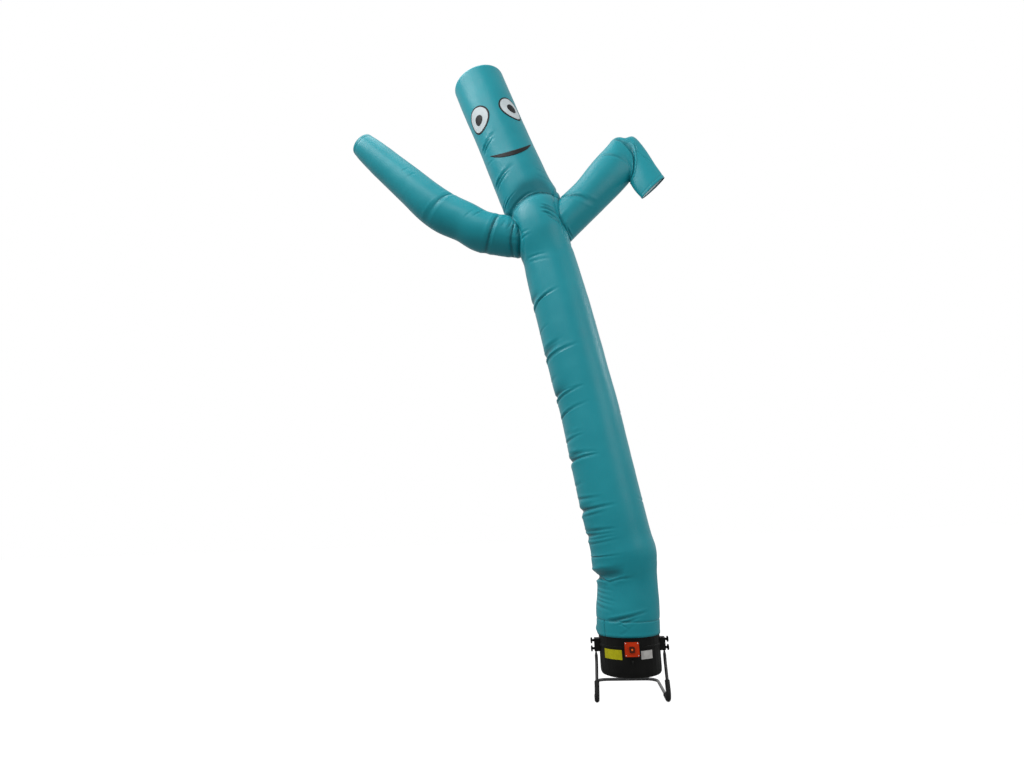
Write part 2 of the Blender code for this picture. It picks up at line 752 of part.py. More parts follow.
def barrel_label(name, left, right, low, high, material, parent):
    """Thin sticker on the barrel's flats, from one angle off the front to another."""
    step = 2 * math.pi / BARREL_SIDES
    start, end = math.radians(270.0 - left), math.radians(270.0 - right)
    inner_edges = [step * i for i in range(2 * BARREL_SIDES) if start + 0.004 < step * i < end - 0.004]
    rings = []
    for angle in [start, *inner_edges, end]:
        near = barrel_reach(angle) + GAP
        far = near + LABEL_THICKNESS
        out = Vector((math.cos(angle), math.sin(angle), 0.0))
        corners = ((near, low), (far, low), (far, high), (near, high))
        rings.append([out * reach + Vector((0.0, 0.0, z)) for reach, z in corners])
    return add_object(name, ring_solid(rings), material, parent)


def switch_parts(plastic, orange, dark, steel, parent, barrel_cut):
    """The box on the barrel's front, its orange plate, panel, bezel, button and screws."""
    back = PLATE_FRONT - PLATE_THICKNESS - GAP
    margin = 0.003
    box = slab(PLATE_WIDTH + 2 * margin, PLATE_HEIGHT + 2 * margin, 0.006, back, 0.030, PLATE_MIDDLE)
    cut(add_object("switch_box", box, plastic, parent), barrel_cut)
    plate = slab(PLATE_WIDTH, PLATE_HEIGHT, 0.006, PLATE_FRONT, PLATE_THICKNESS, PLATE_MIDDLE)
    add_object("switch_plate", plate, orange, parent)
    panel_front = PLATE_FRONT + GAP + PANEL[2]
    panel = slab(PANEL[0], PANEL[1], 0.004, panel_front, PANEL[2], PLATE_MIDDLE)
    add_object("plate_panel", panel, orange, parent)
    bezel_front = panel_front + GAP + BEZEL[2]
    bezel = slab(BEZEL[0], BEZEL[1], 0.006, bezel_front, BEZEL[2], PLATE_MIDDLE)
    bezel = add_object("switch_bezel", bezel, dark, parent)
    sides = 20
    well = (BUTTON_RADIUS + GAP) / math.cos(math.pi / sides)
    depth = BUTTON_TRAVEL + 0.0035
    drill = turned([(well, -depth), (well, 0.01)], sides)
    drill = make_cutter(add_object("cut_well", drill, parent=parent))
    cut(bezel, place_along(drill, (0.0, -bezel_front, PLATE_MIDDLE), FRONT))
    proud = BUTTON_TRAVEL
    profile = [(BUTTON_RADIUS, BUTTON_TRAVEL + GAP - depth), (BUTTON_RADIUS, proud - 0.0008),
               (BUTTON_RADIUS - 0.0008, proud)]
    button = add_object("power_button", turned(profile, sides), orange, parent)
    place_along(button, (0.0, -bezel_front, PLATE_MIDDLE), FRONT)
    corners = (("upper_left", -1, 1), ("upper_right", 1, 1), ("lower_left", -1, -1), ("lower_right", 1, -1))
    for name, sx, sz in corners:
        head = [(PLATE_SCREW, 0.0), (PLATE_SCREW, 0.0008), (PLATE_SCREW * 0.6, 0.0020)]
        screw = add_object("plate_screw_" + name, turned(head, 12), steel, parent)
        x = sx * (PLATE_WIDTH / 2 - 0.0075)
        z = PLATE_MIDDLE + sz * (PLATE_HEIGHT / 2 - 0.0075)
        place_along(screw, (x, -PLATE_FRONT - GAP, z), FRONT)


def cord_gland(plastic, parent):
    """Round gland with its downturned boot, on the barrel below the plate."""
    front = barrel_reach(math.radians(270.0)) + GAP
    rows = (
        # distance out of the barrel, drop, radius
        (0.000, 0.000, 0.0110),
        (0.008, 0.000, 0.0110),
        (0.0125, 0.0015, 0.0090),
        (0.0155, 0.0060, 0.0074),
        (0.0165, 0.0150, 0.0068),
        (0.0165, 0.0300, 0.0058),
    )
    points = [(Vector((0.0, -front - out, GLAND_HEIGHT - drop)), (radius, radius))
              for out, drop, radius in rows]
    return add_object("cord_gland", ring_solid(sweep_rings(points, 12)), plastic, parent)


def centre_on_floor(root):
    """Move the whole part so that the origin is the middle of its footprint, at floor level."""
    bpy.context.view_layer.update()
    graph = bpy.context.evaluated_depsgraph_get()
    corners = []
    for item in bpy.data.objects:
        if item.type == "MESH" and not item.hide_render:
            shape = item.evaluated_get(graph)
            corners += [shape.matrix_world @ Vector(corner) for corner in shape.bound_box]
    low = [min(corner[i] for corner in corners) for i in range(3)]
    high = [max(corner[i] for corner in corners) for i in range(3)]
    root.location = (-(low[0] + high[0]) / 2, -(low[1] + high[1]) / 2, -low[2])


def main():
    clear_scene()
    root = bpy.data.objects.new("dancer", None)
    bpy.context.collection.objects.link(root)
    blower = bpy.data.objects.new("blower", None)
    bpy.context.collection.objects.link(blower)
    blower.parent = root
    blower.rotation_euler.z = BLOWER_TURN

    cloth = finish("turquoise_nylon", (0.05, 0.45, 0.48), 0.45)
    white = finish("white_cloth", (0.82, 0.84, 0.84), 0.6)
    black = finish("black_cloth", (0.02, 0.02, 0.02), 0.6)
    plastic = finish("black_plastic", (0.025, 0.026, 0.028), 0.5)
    orange = finish("orange_plastic", (0.85, 0.13, 0.02), 0.45)
    dark = finish("dark_red_plastic", (0.16, 0.03, 0.02), 0.5)
    rubber = finish("rubber", (0.02, 0.02, 0.02), 0.8)
    painted = finish("painted_steel", (0.05, 0.05, 0.055), 0.35, 0.6)
    steel = finish("bright_steel", (0.7, 0.7, 0.7), 0.3, 1.0)
    yellow = finish("yellow_label", (0.75, 0.68, 0.05), 0.5)
    silver = finish("silver_label", (0.6, 0.6, 0.6), 0.4, 0.4)

    body = Body()
    tube = body_tube(body, cloth, root)
    crown_panel(body, cloth, root)
    left_axis = Axis(LEFT_SLEEVE)
    right_axis = SectionAxis(RIGHT_SECTIONS)
    chest = ring_solid(body.rings(2.0, math.inf, -GAP))
    chest_cut = make_cutter(add_object("cut_chest", chest, parent=root))
    for name, axis, ring_at, folds, spacing in (
            ("left_sleeve", left_axis, tube_ring, LEFT_FOLDS, 0.14),
            ("right_sleeve", right_axis, section_ring, RIGHT_FOLDS, 0.09)):
        item, bore = sleeve(name, axis, ring_at, folds, spacing, cloth, root)
        cut(item, chest_cut)
        cut(tube, bore)

    for name, *shape in EYES:
        turn, height, width, tall, tilt, pupil_turn, pupil_height, pupil_width, pupil_tall = shape
        rim = 2 * EYE_RIM
        outline = egg_outline(body, turn, height, width + rim, tall + rim, tilt)
        face_piece(body, name + "_eye_outline", outline, GAP, black, root)
        outline = egg_outline(body, turn, height, width, tall, tilt)
        face_piece(body, name + "_eye_white", outline, 2 * GAP + CLOTH, white, root)
        outline = egg_outline(body, pupil_turn, pupil_height, pupil_width, pupil_tall, tilt, 14)
        face_piece(body, name + "_pupil", outline, 3 * GAP + 2 * CLOTH, black, root)
    face_piece(body, "mouth", smile_outline(body), GAP, black, root)

    housing(plastic, blower)
    intake_grille(plastic, blower)
    barrel = turned(barrel_outline(GAP), BARREL_SIDES)
    barrel_cut = make_cutter(add_object("cut_barrel", barrel, parent=blower))
    for word, side in (("left", -1), ("right", 1)):
        bracket(side, word + "_bracket", plastic, blower, barrel_cut)
        rubber_foot(side, word + "_foot", rubber, blower)
        for level, height in KNOB_HEIGHTS.items():
            clamp_knob(side, word + "_" + level + "_knob", height, plastic, blower)
    stand(painted, blower)
    switch_parts(plastic, orange, dark, steel, blower, barrel_cut)
    cord_gland(plastic, blower)
    for name, left, right, low, high, material in (
            ("yellow_label", 57.5, 18.5, 0.290, 0.352, yellow),
            ("silver_label", -16.5, -40.5, 0.292, 0.345, silver)):
        barrel_label(name, left, right, low, high, material, blower)
    centre_on_floor(root)


main()
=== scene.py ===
"""Looks of the inflatable air dancer over its floor blower.

Metres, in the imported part's frame. The cloth's tables are measured from the blower's outlet axis, as in
part.py. A place on a tube is a turn in degrees, 0 at the front and 90 at the viewer's left on an upright
tube, and a distance in metres along its centre line.
"""

import math

import bmesh
import bpy
import numpy as np
from mathutils import Matrix, Vector, noise


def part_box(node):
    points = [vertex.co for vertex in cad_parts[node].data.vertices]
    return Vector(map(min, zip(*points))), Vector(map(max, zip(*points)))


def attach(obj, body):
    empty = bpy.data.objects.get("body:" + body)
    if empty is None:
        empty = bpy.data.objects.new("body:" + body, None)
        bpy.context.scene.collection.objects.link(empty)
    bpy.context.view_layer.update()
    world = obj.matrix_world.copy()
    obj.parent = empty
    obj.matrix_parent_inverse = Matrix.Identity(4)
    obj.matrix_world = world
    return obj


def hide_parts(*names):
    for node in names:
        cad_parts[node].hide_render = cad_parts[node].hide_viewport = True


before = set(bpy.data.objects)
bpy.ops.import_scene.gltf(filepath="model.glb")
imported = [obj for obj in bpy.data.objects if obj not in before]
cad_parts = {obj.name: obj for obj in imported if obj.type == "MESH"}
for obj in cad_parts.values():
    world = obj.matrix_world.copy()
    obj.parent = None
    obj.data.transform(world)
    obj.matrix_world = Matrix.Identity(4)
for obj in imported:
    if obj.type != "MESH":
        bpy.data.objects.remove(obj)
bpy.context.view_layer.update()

BODY = "dancer_and_blower"
housing_low, housing_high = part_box("housing")
OUTLET = np.array([(housing_low[0] + housing_high[0]) / 2, (housing_low[1] + housing_high[1]) / 2, 0.0])
FRONT = np.array([0.0, -1.0, 0.0])

# Camera
CAMERA_PLACE = (-0.76, -4.756, 1.197)      # from the outlet axis
CAMERA_PITCH = math.radians(12.5)
CAMERA_ROLL = math.radians(2.0)
FOCAL_PIXELS = 636.0
IMAGE_WIDTH = 1024.0

# Light
AMBIENT = 0.7               # of the white surroundings, which the camera sees as plain white
FLOOR_HALF = 40.0
FLOOR_GLOW = 0.97           # of the floor, as the camera sees it
FLOOR_BOUNCE = 0.2          # of the floor, as the cloth's undersides see it

# Cloth
CLOTH = 0.0012
GAP = 0.0003
CLOTH_RADIUS = 0.2285       # of the tube, for the place of its threads
PATCH_LIFT = 0.0004         # of the face's pieces over what they are sewn to
HIDDEN_DEPTH = 0.10         # inside a sleeve, where the tube's cloth is cut away
THREAD_PITCH = 0.0016
CROWN_ROUND = 0.028
CROWN_RISE = 0.009
CROWN_RINGS = 12            # of the rounded shoulder
SHOULDER = 1.6 * CROWN_ROUND    # from the last plain row to the tube's end
BODY_COLUMNS = 116
BODY_ROWS = 385
LEFT_GRID = (210, 100)      # rows, columns
RIGHT_GRID = (296, 150)
HAND_HEM = 0.03
CREASE_WIDTH = 0.88         # of the half widths in the crease tables
HEM_BAND = 0.1              # height of the hem's casing, from the cloth's lower edge
HEM_OPENING = 57.0          # turn where the casing's ends meet
HEM_ROLL = 0.012            # thickness of its rolled lower edge

BODY_AXIS = (
    # x, y, z, radius
    (0.0, 0.0, 0.43, 0.2145),
    (0.0, 0.0, 0.47, 0.2185),
    (0.0, 0.0, 0.515, 0.2205),
    (0.003, 0.0, 0.59, 0.222),
    (0.01, 0.0, 0.66, 0.218),
    (0.014, 0.0, 0.785, 0.212),
    (0.008, 0.0, 0.865, 0.225),
    (0.003, 0.0, 0.925, 0.2325),
    (0.001, 0.0, 0.99, 0.2355),
    (-0.014, 0.003, 1.071, 0.2285),
    (-0.062, 0.019, 1.334, 0.228),
    (-0.119, 0.054, 1.705, 0.228),
    (-0.173, 0.098, 2.067, 0.2265),
    (-0.231, 0.128, 2.374, 0.228),
    (-0.308, 0.177, 2.807, 0.228),
    (-0.386, 0.207, 3.203, 0.2215),
    (-0.415, 0.219, 3.353, 0.213),
    (-0.462, 0.231, 3.518, 0.216),
    (-0.525, 0.246, 3.78, 0.233),
    (-0.557, 0.252, 3.911, 0.237),
    (-0.617, 0.263, 4.086, 0.234),
    (-0.748, 0.284, 4.476, 0.2275),
    (-0.915, 0.302, 4.963, 0.229),
    (-0.972, 0.31, 5.137, 0.229),
)

# Broad folds: a trough with a low ridge on either side
BODY_FOLDS = (
    # height, turn, half span, depth, half width, rise over the half span
    (0.834, 88, 78, 0.027, 0.03, 0.02),
    (1.131, 100, 60, 0.01, 0.02, 0.01),
    (1.303, 95, 55, 0.013, 0.024, 0.01),
    (1.67, 100, 62, 0.013, 0.024, 0.015),
    (2.188, 98, 64, 0.014, 0.026, 0.025),
    (2.51, 96, 66, 0.015, 0.026, 0.03),
    (2.973, 104, 60, 0.011, 0.024, 0.03),
)

DOME_HEIGHT = 0.3           # of the chest's dome, below its lip
DOME_DEPTH = 0.1
LIP_DEPTH = 0.053
NECK_DEPTH = 0.026          # how far the head's cloth sinks behind the lip

# Soft swellings
BODY_SWELLS = (
    # distance, turn, half length, half span, height
    (3.49, -86, 0.1, 42, 0.026),
    (0.034, 97, 0.022, 12, 0.011),
)

# Edge of the chest's dome, where the head bends back behind it
LIP = ((88, 3.33), (75, 3.385), (62, 3.414), (47, 3.437), (34, 3.457), (21, 3.473), (9, 3.487),
       (-19, 3.495), (-33, 3.489), (-53, 3.478), (-88, 3.44))

# Finer creases: a sharp trough beside a ridge. Lengths in the crease tables are in millimetres.
BODY_CREASES = (
    # depth, half width, places (turn, distance) from its strong end on
    (8, 11, ((104, 2530), (71, 2556), (40, 2590), (0, 2618))),
    (5, 8, ((60, 2575), (8, 2602))),
    (4, 9, ((104, 2330), (42, 2342))),
    (6, 10, ((100, 2176), (18, 2186))),
    (9, 11, ((106, 2074), (72, 2087), (-6, 2111))),
    (5, 8, ((84, 2064), (2, 2100))),
    (4, 9, ((106, 1918), (46, 1925))),
    (9, 11, ((108, 1738), (79, 1747), (4, 1782))),
    (5, 8, ((100, 1802), (8, 1784))),
    (8, 10, ((104, 1596), (73, 1607), (2, 1648))),
    (4.5, 8, ((84, 1604), (20, 1652))),
    (6.5, 10, ((104, 1404), (22, 1414))),
    (4, 8, ((76, 1456), (17, 1428))),
    (9, 11, ((106, 1264), (75, 1257), (4, 1245))),
    (6, 9, ((92, 1322), (4, 1260))),
    (4, 9, ((104, 1073), (50, 1077))),
    (6, 10, ((100, 980), (69, 971), (17, 948))),
    (9, 11, ((106, 896), (72, 890), (-3, 878))),
    (5, 8, ((84, 852), (18, 846))),
    (7.5, 10, ((100, 752), (60, 745), (6, 722))),
    (4.5, 8, ((98, 722), (10, 698))),
    (4.5, 8, ((100, 690), (12, 676))),
    (5, 8, ((98, 656), (4, 648))),
    (5.5, 9, ((104, 524), (83, 530), (10, 547))),
    (6, 9, ((98, 448), (70, 453), (2, 477))),
    (11, 11, ((100, 412), (83, 404), (44, 367), (21, 386), (-6, 390))),
    (4.5, 8, ((94, 316), (30, 300))),
    (4.5, 8, ((92, 286), (38, 268))),
    (5, 8, ((94, 252), (28, 226))),
    (4.5, 8, ((92, 216), (34, 194))),
    (5, 8, ((94, 182), (32, 160))),
    (11, 12, ((48, 100), (33, 108), (5, 134), (-30, 176))),
    (6.5, 10, ((24, 92), (9, 104), (-18, 140))),
    (3.5, 7, ((26, 20), (19, 27), (-2, 84))),
    (3, 6, ((27, 82), (22, 86), (6, 55))),
    # chest and armpits
    (12.5, 10, ((-6, 3316), (-18, 3298), (-48, 3214))),
    (13, 10, ((-6, 3278), (-17, 3256), (-46, 3146))),
    (10.5, 9, ((-10, 3346), (-42, 3268))),
    (10.5, 10, ((-14, 3232), (-54, 3100))),
    (6, 9, ((-28, 3225), (-60, 3060))),
    (4.5, 9, ((56, 2966), (6, 2925))),
    (4.5, 9, ((56, 2920), (2, 2871))),
    (4.5, 8, ((50, 3184), (22, 3166))),
    (4, 8, ((54, 3146), (22, 3132))),
    # head
    (10, 11, ((74, 4104), (64, 4115), (14, 4172))),
    (8, 10, ((72, 4072), (26, 4126))),
    (11, 11, ((80, 3742), (68, 3753), (8, 3796))),
    (8, 10, ((78, 3706), (20, 3764))),
    (5, 9, ((88, 3480), (59, 3532), (26, 3570))),
    (4.5, 8, ((98, 3510), (50, 3580))),
    (3.5, 7, ((74, 3968), (38, 3942))),
    (3.5, 8, ((-24, 3640), (-72, 3560))),
    (3, 8, ((-30, 3700), (-78, 3640))),
    # back and right side
    (6, 12, ((150, 620), (228, 560))),
    (5, 11, ((138, 980), (205, 1030))),
    (6, 12, ((170, 1300), (248, 1250))),
    (5, 11, ((132, 1700), (200, 1770))),
    (6, 12, ((160, 2120), (236, 2060))),
    (5, 11, ((140, 2560), (214, 2640))),
    (6, 12, ((168, 2960), (240, 2880))),
    (7, 12, ((148, 3260), (222, 3330))),
    (7, 13, ((215, 3540), (150, 3590))),
    (5, 11, ((150, 3920), (214, 3980))),
    (5, 11, ((200, 4340), (262, 4290))),
    (3, 10, ((-96, 860), (-40, 900))),
    (3, 10, ((-98, 1560), (-48, 1530))),
    (3, 10, ((-96, 2300), (-50, 2340))),
)

LEFT_SLEEVE = (
    # x, y, z, radius
    (-0.507, 0.232, 3.559, 0.17),
    (-0.677, 0.232, 3.57, 0.17),
    (-0.816, 0.233, 3.597, 0.172),
    (-0.974, 0.242, 3.643, 0.174),
    (-1.112, 0.253, 3.736, 0.171),
    (-1.279, 0.27, 3.834, 0.175),
    (-1.405, 0.279, 3.936, 0.171),
    (-1.559, 0.288, 4.091, 0.158),
    (-1.696, 0.302, 4.23, 0.147),
    (-1.844, 0.316, 4.382, 0.136),
    (-1.966, 0.325, 4.506, 0.121),
    (-2.019, 0.329, 4.563, 0.108),
)

LEFT_FOLDS = (
    # distance, turn, half span, depth, half width, rise over the half span
    (0.207, 40, 120, 0.006, 0.022, 0.03),
    (0.378, 35, 130, 0.008, 0.022, -0.049),
    (0.885, 5, 100, 0.004, 0.024, -0.043),
)

LEFT_CREASES = (
    # depth, half width, places
    (10, 9, ((-50, 340), (-9, 361), (29, 376), (81, 395), (120, 400))),
    (10, 9, ((-30, 196), (3, 205), (34, 213), (93, 182), (124, 160))),
    (5, 8, ((-70, 846), (-38, 863), (-8, 884), (43, 898))),
    (4, 8, ((-6, 550), (-16, 541), (-52, 516))),
    (3.5, 7, ((10, 606), (-34, 580))),
    (5, 7, ((10, 258), (2, 249), (-30, 212))),
    (5, 7, ((4, 214), (-6, 203), (-38, 166))),
    (4.5, 7, ((2, 300), (-34, 262))),
    (4, 7, ((20, 170), (-20, 132))),
    (3, 8, ((0, 1330), (-30, 1310))),
    (3, 8, ((4, 1250), (-34, 1232))),
    (5, 10, ((150, 300), (230, 350))),
    (5, 10, ((140, 760), (220, 820))),
)

# Cross-sections of the folded right sleeve, from inside the body to the hand.
# Each one spans from a point on the sleeve's inner side to one on its outer side.
RIGHT_SECTIONS = (
    # inner x, inner z, outer x, outer z, y, depth
    (-0.389, 3.35, -0.456, 3.737, 0.226, 0.34),
    (-0.23, 3.51, -0.303, 3.892, 0.218, 0.346),
    (-0.073, 3.659, -0.152, 4.037, 0.211, 0.336),
    (0.082, 3.809, -0.016, 4.206, 0.204, 0.33),
    (0.222, 3.94, 0.122, 4.352, 0.193, 0.3),
    (0.293, 4.01, 0.198, 4.43, 0.177, 0.235),
    (0.296, 4.012, 0.282, 4.422, 0.165, 0.195),
    (0.299, 4.01, 0.364, 4.424, 0.152, 0.165),
    (0.3, 3.974, 0.445, 4.287, 0.124, 0.135),
    (0.326, 3.896, 0.508, 4.133, 0.099, 0.122),
    (0.373, 3.807, 0.574, 3.985, 0.073, 0.1),
)

RIGHT_FOLDS = (
    # distance, turn, half span, depth, half width, rise over the half span
    (0.345, 20, 75, 0.005, 0.026, 0.215),
    (0.85, 14, 75, 0.003, 0.026, 0.265),
)

RIGHT_CREASES = (
    # depth, half width, places
    (7.5, 11, ((72, 215), (44, 266), (30, 306), (18, 351), (5, 395), (-6, 425),
                     (-22, 460))),
    (5, 10, ((64, 200), (34, 268), (6, 352), (-10, 384))),
    (5, 10, ((62, 720), (42, 766), (32, 794), (21, 827), (11, 859), (-7, 911), (-27, 966),
                     (-44, 1010))),
    (6, 10, ((-24, 166), (-60, 192), (-100, 235))),
    (4.5, 9, ((-34, 196), (-62, 226), (-90, 258))),
    (16.5, 22, ((80, 940), (63, 952), (44, 968), (35, 992), (19, 1014), (4, 1038), (-6, 1060),
                     (-23, 1085), (-39, 1108), (-68, 1104), (-103, 1100), (-140, 1096))),
    (6, 14, ((66, 990), (50, 1012), (32, 1040), (27, 1058), (13, 1073), (-2, 1080))),
    (6, 12, ((14, 1084), (19, 1097), (26, 1157), (43, 1230), (60, 1300))),
    (5, 10, ((150, 500), (230, 560))),
    (5, 10, ((150, 760), (226, 720))),
)

# Face
EYE_RIM = 0.014
EYE_POINTS = 72
EGG_FACTOR = 0.11           # how much wider an eye is above than below
EYES = (
    # name, turn, height, width, tall, tilt, pupil's turn, height, width, tall
    ("left", 43.8, 4.677, 0.19, 0.218, -24, 43.6, 4.671, 0.08, 0.092),
    ("right", -37, 4.665, 0.172, 0.222, 25, -38.2, 4.666, 0.08, 0.094),
)
# turns of its ends, heights of its ends, sag, thickness
MOUTH = (54.0, -50.0, 4.34, 4.313, 0.09, 0.045)

MOULDINGS = (
    # name, light colour, dark colour, roughness, grain, wear, nodes
    ("black_moulding", (0.005, 0.0052, 0.0046), (0.003, 0.0031, 0.0028), 0.46, 0.3, 0.1,
     ("housing", "intake_grille", "switch_box", "cord_gland", "left_bracket", "right_bracket")),
    ("knob_moulding", (0.0045, 0.0045, 0.0045), (0.003, 0.003, 0.003), 0.4, 0.2, 0.15,
     ("left_upper_knob", "left_lower_knob", "right_upper_knob", "right_lower_knob")),
    ("orange_moulding", (0.5, 0.032, 0.003), (0.42, 0.026, 0.002), 0.46, 0.22, 0.0,
     ("switch_plate", "plate_panel")),
    ("button_moulding", (0.85, 0.16, 0.02), (0.75, 0.12, 0.015), 0.36, 0.15, 0.0, ("power_button",)),
    ("bezel_moulding", (0.06, 0.012, 0.006), (0.04, 0.008, 0.005), 0.4, 0.2, 0.0, ("switch_bezel",)),
)

LABELS = (
    # name, light colour, dark colour, roughness, metal, node
    ("yellow_film", (0.42, 0.395, 0.002), (0.35, 0.33, 0.0015), 0.5, 0.0, "yellow_label"),
    ("silver_film", (0.5, 0.49, 0.47), (0.4, 0.392, 0.378), 0.42, 0.3, "silver_label"),
)

# Lights
SOFTBOXES = (
    # name, place, aim, size, power
    ("key", (-3.9, -1.4, 7.2), (0.0, 0.0, 3.8), (2.6, 2.6), 185.0),
    ("front", (-2.8, -4.6, 8.4), (0.0, 0.0, 3.6), (5.0, 3.0), 225.0),
    ("top", (-1.6, 0.2, 8.0), (0.0, 0.0, 3.4), (3.0, 2.6), 75.0),
    ("right", (4.8, -3.6, 4.4), (0.0, 0.0, 2.8), (3.0, 4.0), 85.0),
    ("edge", (4.6, 1.2, 4.6), (0.0, 0.0, 2.8), (0.9, 1.6), 34.0),
)


# Shapes


def smooth_rows(rows, steps=16):
    """Catmull-Rom through the rows, this many steps from row to row."""
    rows = np.array(rows, float)
    values = []
    for i in range((len(rows) - 1) * steps + 1):
        index = min(i // steps, len(rows) - 2)
        t = i / steps - index
        a, b = rows[max(index - 1, 0)], rows[index]
        c, d = rows[index + 1], rows[min(index + 2, len(rows) - 1)]
        values.append(0.5 * (2 * b + (c - a) * t + (2 * a - 5 * b + 4 * c - d) * t * t
                             + (3 * b - a - 3 * c + d) * t ** 3))
    return np.array(values)


def unit(vectors):
    return vectors / np.linalg.norm(vectors, axis=-1, keepdims=True)


def around_from(turn, middle):
    """Turn counted from a middle one, from -180 to 180."""
    return (turn - middle + 180.0) % 360.0 - 180.0


def fold_relief(folds, distance, turn):
    total = np.zeros(np.broadcast(distance, turn).shape)
    for place, middle, half_span, depth, half_width, rise in folds:
        side = around_from(turn, middle) / half_span
        fade = np.cos(np.clip(np.abs(side), 0.0, 1.0) * math.pi / 2) ** 0.8
        across = (distance - place + rise * side) / half_width
        ridge = 0.35 * np.exp(-((np.abs(across) - 1.6) / 0.5) ** 2)
        total += depth * fade * (ridge - np.exp(-across * across))
    return total


def crease_relief(creases, distance, turn):
    """Sharp troughs, each with a ridge above it, that run out at both ends."""
    total = np.zeros(np.broadcast(distance, turn).shape)
    for depth, half_width, places in creases:
        half_width = half_width / 1000 * CREASE_WIDTH
        turns, distances = np.array(places, float).T
        distances = distances / 1000
        first, last = turns[0], turns[-1]
        where = (first + last) / 2 + around_from(turn, (first + last) / 2)
        order = np.argsort(turns)
        path = np.interp(where, turns[order], distances[order])
        share = np.clip((where - first) / (last - first), 0.0, 1.0)
        fade = np.sin(math.pi * share ** 0.65)
        across = (distance - path) / half_width
        ridge = 0.55 * np.exp(-((across - 1.7) / 0.8) ** 2) + 0.2 * np.exp(-((across + 1.7) / 0.7) ** 2)
        total += depth / 1000 * fade * (ridge - np.exp(-across * across))
    return total


def lip_relief(distance, turn):
    """The chest's dome stands over a deep fold at the foot of the head."""
    turns, distances = np.array(LIP, float).T
    where = around_from(turn, 0.0)
    across = distance - np.interp(where, turns[::-1], distances[::-1])
    span = np.where(where > 0, 92.0, 80.0)
    fade = np.cos(np.clip(np.abs(where) / span, 0.0, 1.0) * math.pi / 2) ** 0.8
    below = np.clip(-across / DOME_HEIGHT, 0.0, 1.0)
    swell = DOME_DEPTH * np.sqrt(1.0 - (1.0 - below) ** 2) - LIP_DEPTH
    swell *= np.exp(-np.clip(-across / DOME_HEIGHT - 1.0, 0.0, None) ** 2 / 0.35)
    beyond = np.clip(across, 0.0, None)
    slot = 0.022 * np.exp(-((across - 0.014) / 0.012) ** 2) * np.clip((where + 15.0) / 75.0, 0.12, 1.0)
    trough = -NECK_DEPTH * np.exp(-(beyond / 0.095) ** 2) - slot
    return fade * np.where(across < 0.0, swell - slot, trough)


def swell_relief(swells, distance, turn):
    total = np.zeros(np.broadcast(distance, turn).shape)
    for place, middle, half_length, half_span, height in swells:
        away = ((distance - place) / half_length) ** 2 + (around_from(turn, middle) / half_span) ** 2
        total += height * np.exp(-away)
    return total


def unevenness(points, size, height):
    """Soft hollows and swellings of taut cloth, the same in every run."""
    flat = points.reshape(-1, 3) / size
    values = [noise.noise(Vector(point)) for point in flat]
    return height * np.array(values).reshape(points.shape[:-1])


def body_unevenness(points):
    return unevenness(points, 0.3, 0.003) + unevenness(points, 0.09, 0.001)


class Tube:
    """A cloth tube on a smooth centre line, read by distance and turn."""

    def __init__(self, rows, relief):
        self.values = smooth_rows(rows)
        steps = np.linalg.norm(np.diff(self.values[:, :3], axis=0), axis=1)
        self.reach = np.concatenate(([0.0], np.cumsum(steps)))
        self.length = self.reach[-1]
        self.relief = relief

    def read(self, distance):
        return np.stack([np.interp(distance, self.reach, column) for column in self.values.T], axis=-1)

    def at_height(self, height):
        return float(self.reach[np.argmax(self.values[:, 2] >= height)])

    def near_height(self, height):
        return float(np.interp(height, self.values[:, 2], self.reach))

    def direction(self, distance):
        step = 0.02
        return unit(self.read(distance + step)[..., :3] - self.read(distance - step)[..., :3])

    def sides(self, distance):
        direction = self.direction(distance)
        forward = unit(FRONT - direction * (direction @ FRONT)[..., None])
        return forward, np.cross(forward, direction)

    def place(self, distance, turn, extra=0.0):
        row = self.read(distance)
        forward, left = self.sides(distance)
        angle = np.radians(turn)[..., None]
        radius = (row[..., 3] + self.relief(distance, turn) + extra)[..., None]
        return OUTLET + row[..., :3] + (forward * np.cos(angle) + left * np.sin(angle)) * radius

    def clearance(self, points):
        """How far points lie outside the tube's plain form, and the distances and turns where."""
        centres = self.values[:, :3] + OUTLET
        nearest = np.empty(len(points), int)
        for start in range(0, len(points), 4000):
            part = points[start:start + 4000, None, :] - centres[None]
            nearest[start:start + 4000] = np.argmin((part ** 2).sum(-1), axis=1)
        distance = self.reach[nearest]
        distance = distance + ((points - centres[nearest]) * self.direction(distance)).sum(-1)
        distance = np.clip(distance, 0.0, self.length)
        forward, left = self.sides(distance)
        out = points - OUTLET - self.read(distance)[..., :3]
        turn = np.degrees(np.arctan2((out * left).sum(-1), (out * forward).sum(-1)))
        return np.linalg.norm(out, axis=-1) - self.read(distance)[..., 3], distance, turn


class FoldedTube(Tube):
    """The folded sleeve: each cross-section is an oval from its inner to its outer side."""

    def __init__(self, sections, relief):
        rows = [((inner_x + outer_x) / 2, y, (inner_z + outer_z) / 2, depth,
                 inner_x, inner_z, outer_x, outer_z)
                for inner_x, inner_z, outer_x, outer_z, y, depth in sections]
        super().__init__(rows, relief)

    def across(self, row):
        """From the inner to the outer side of a cross-section."""
        return np.insert(row[..., 6:8] - row[..., 4:6], 1, 0.0, axis=-1)

    def place(self, distance, turn, extra=0.0):
        row = self.read(distance)
        across = self.across(row) / 2
        reach = np.linalg.norm(across, axis=-1, keepdims=True)
        stand = (self.relief(distance, turn) + extra)[..., None]
        angle = np.radians(turn)[..., None]
        return (OUTLET + row[..., :3] + FRONT * (row[..., 3:4] / 2 + stand) * np.cos(angle)
                + across / reach * (reach + stand) * np.sin(angle))


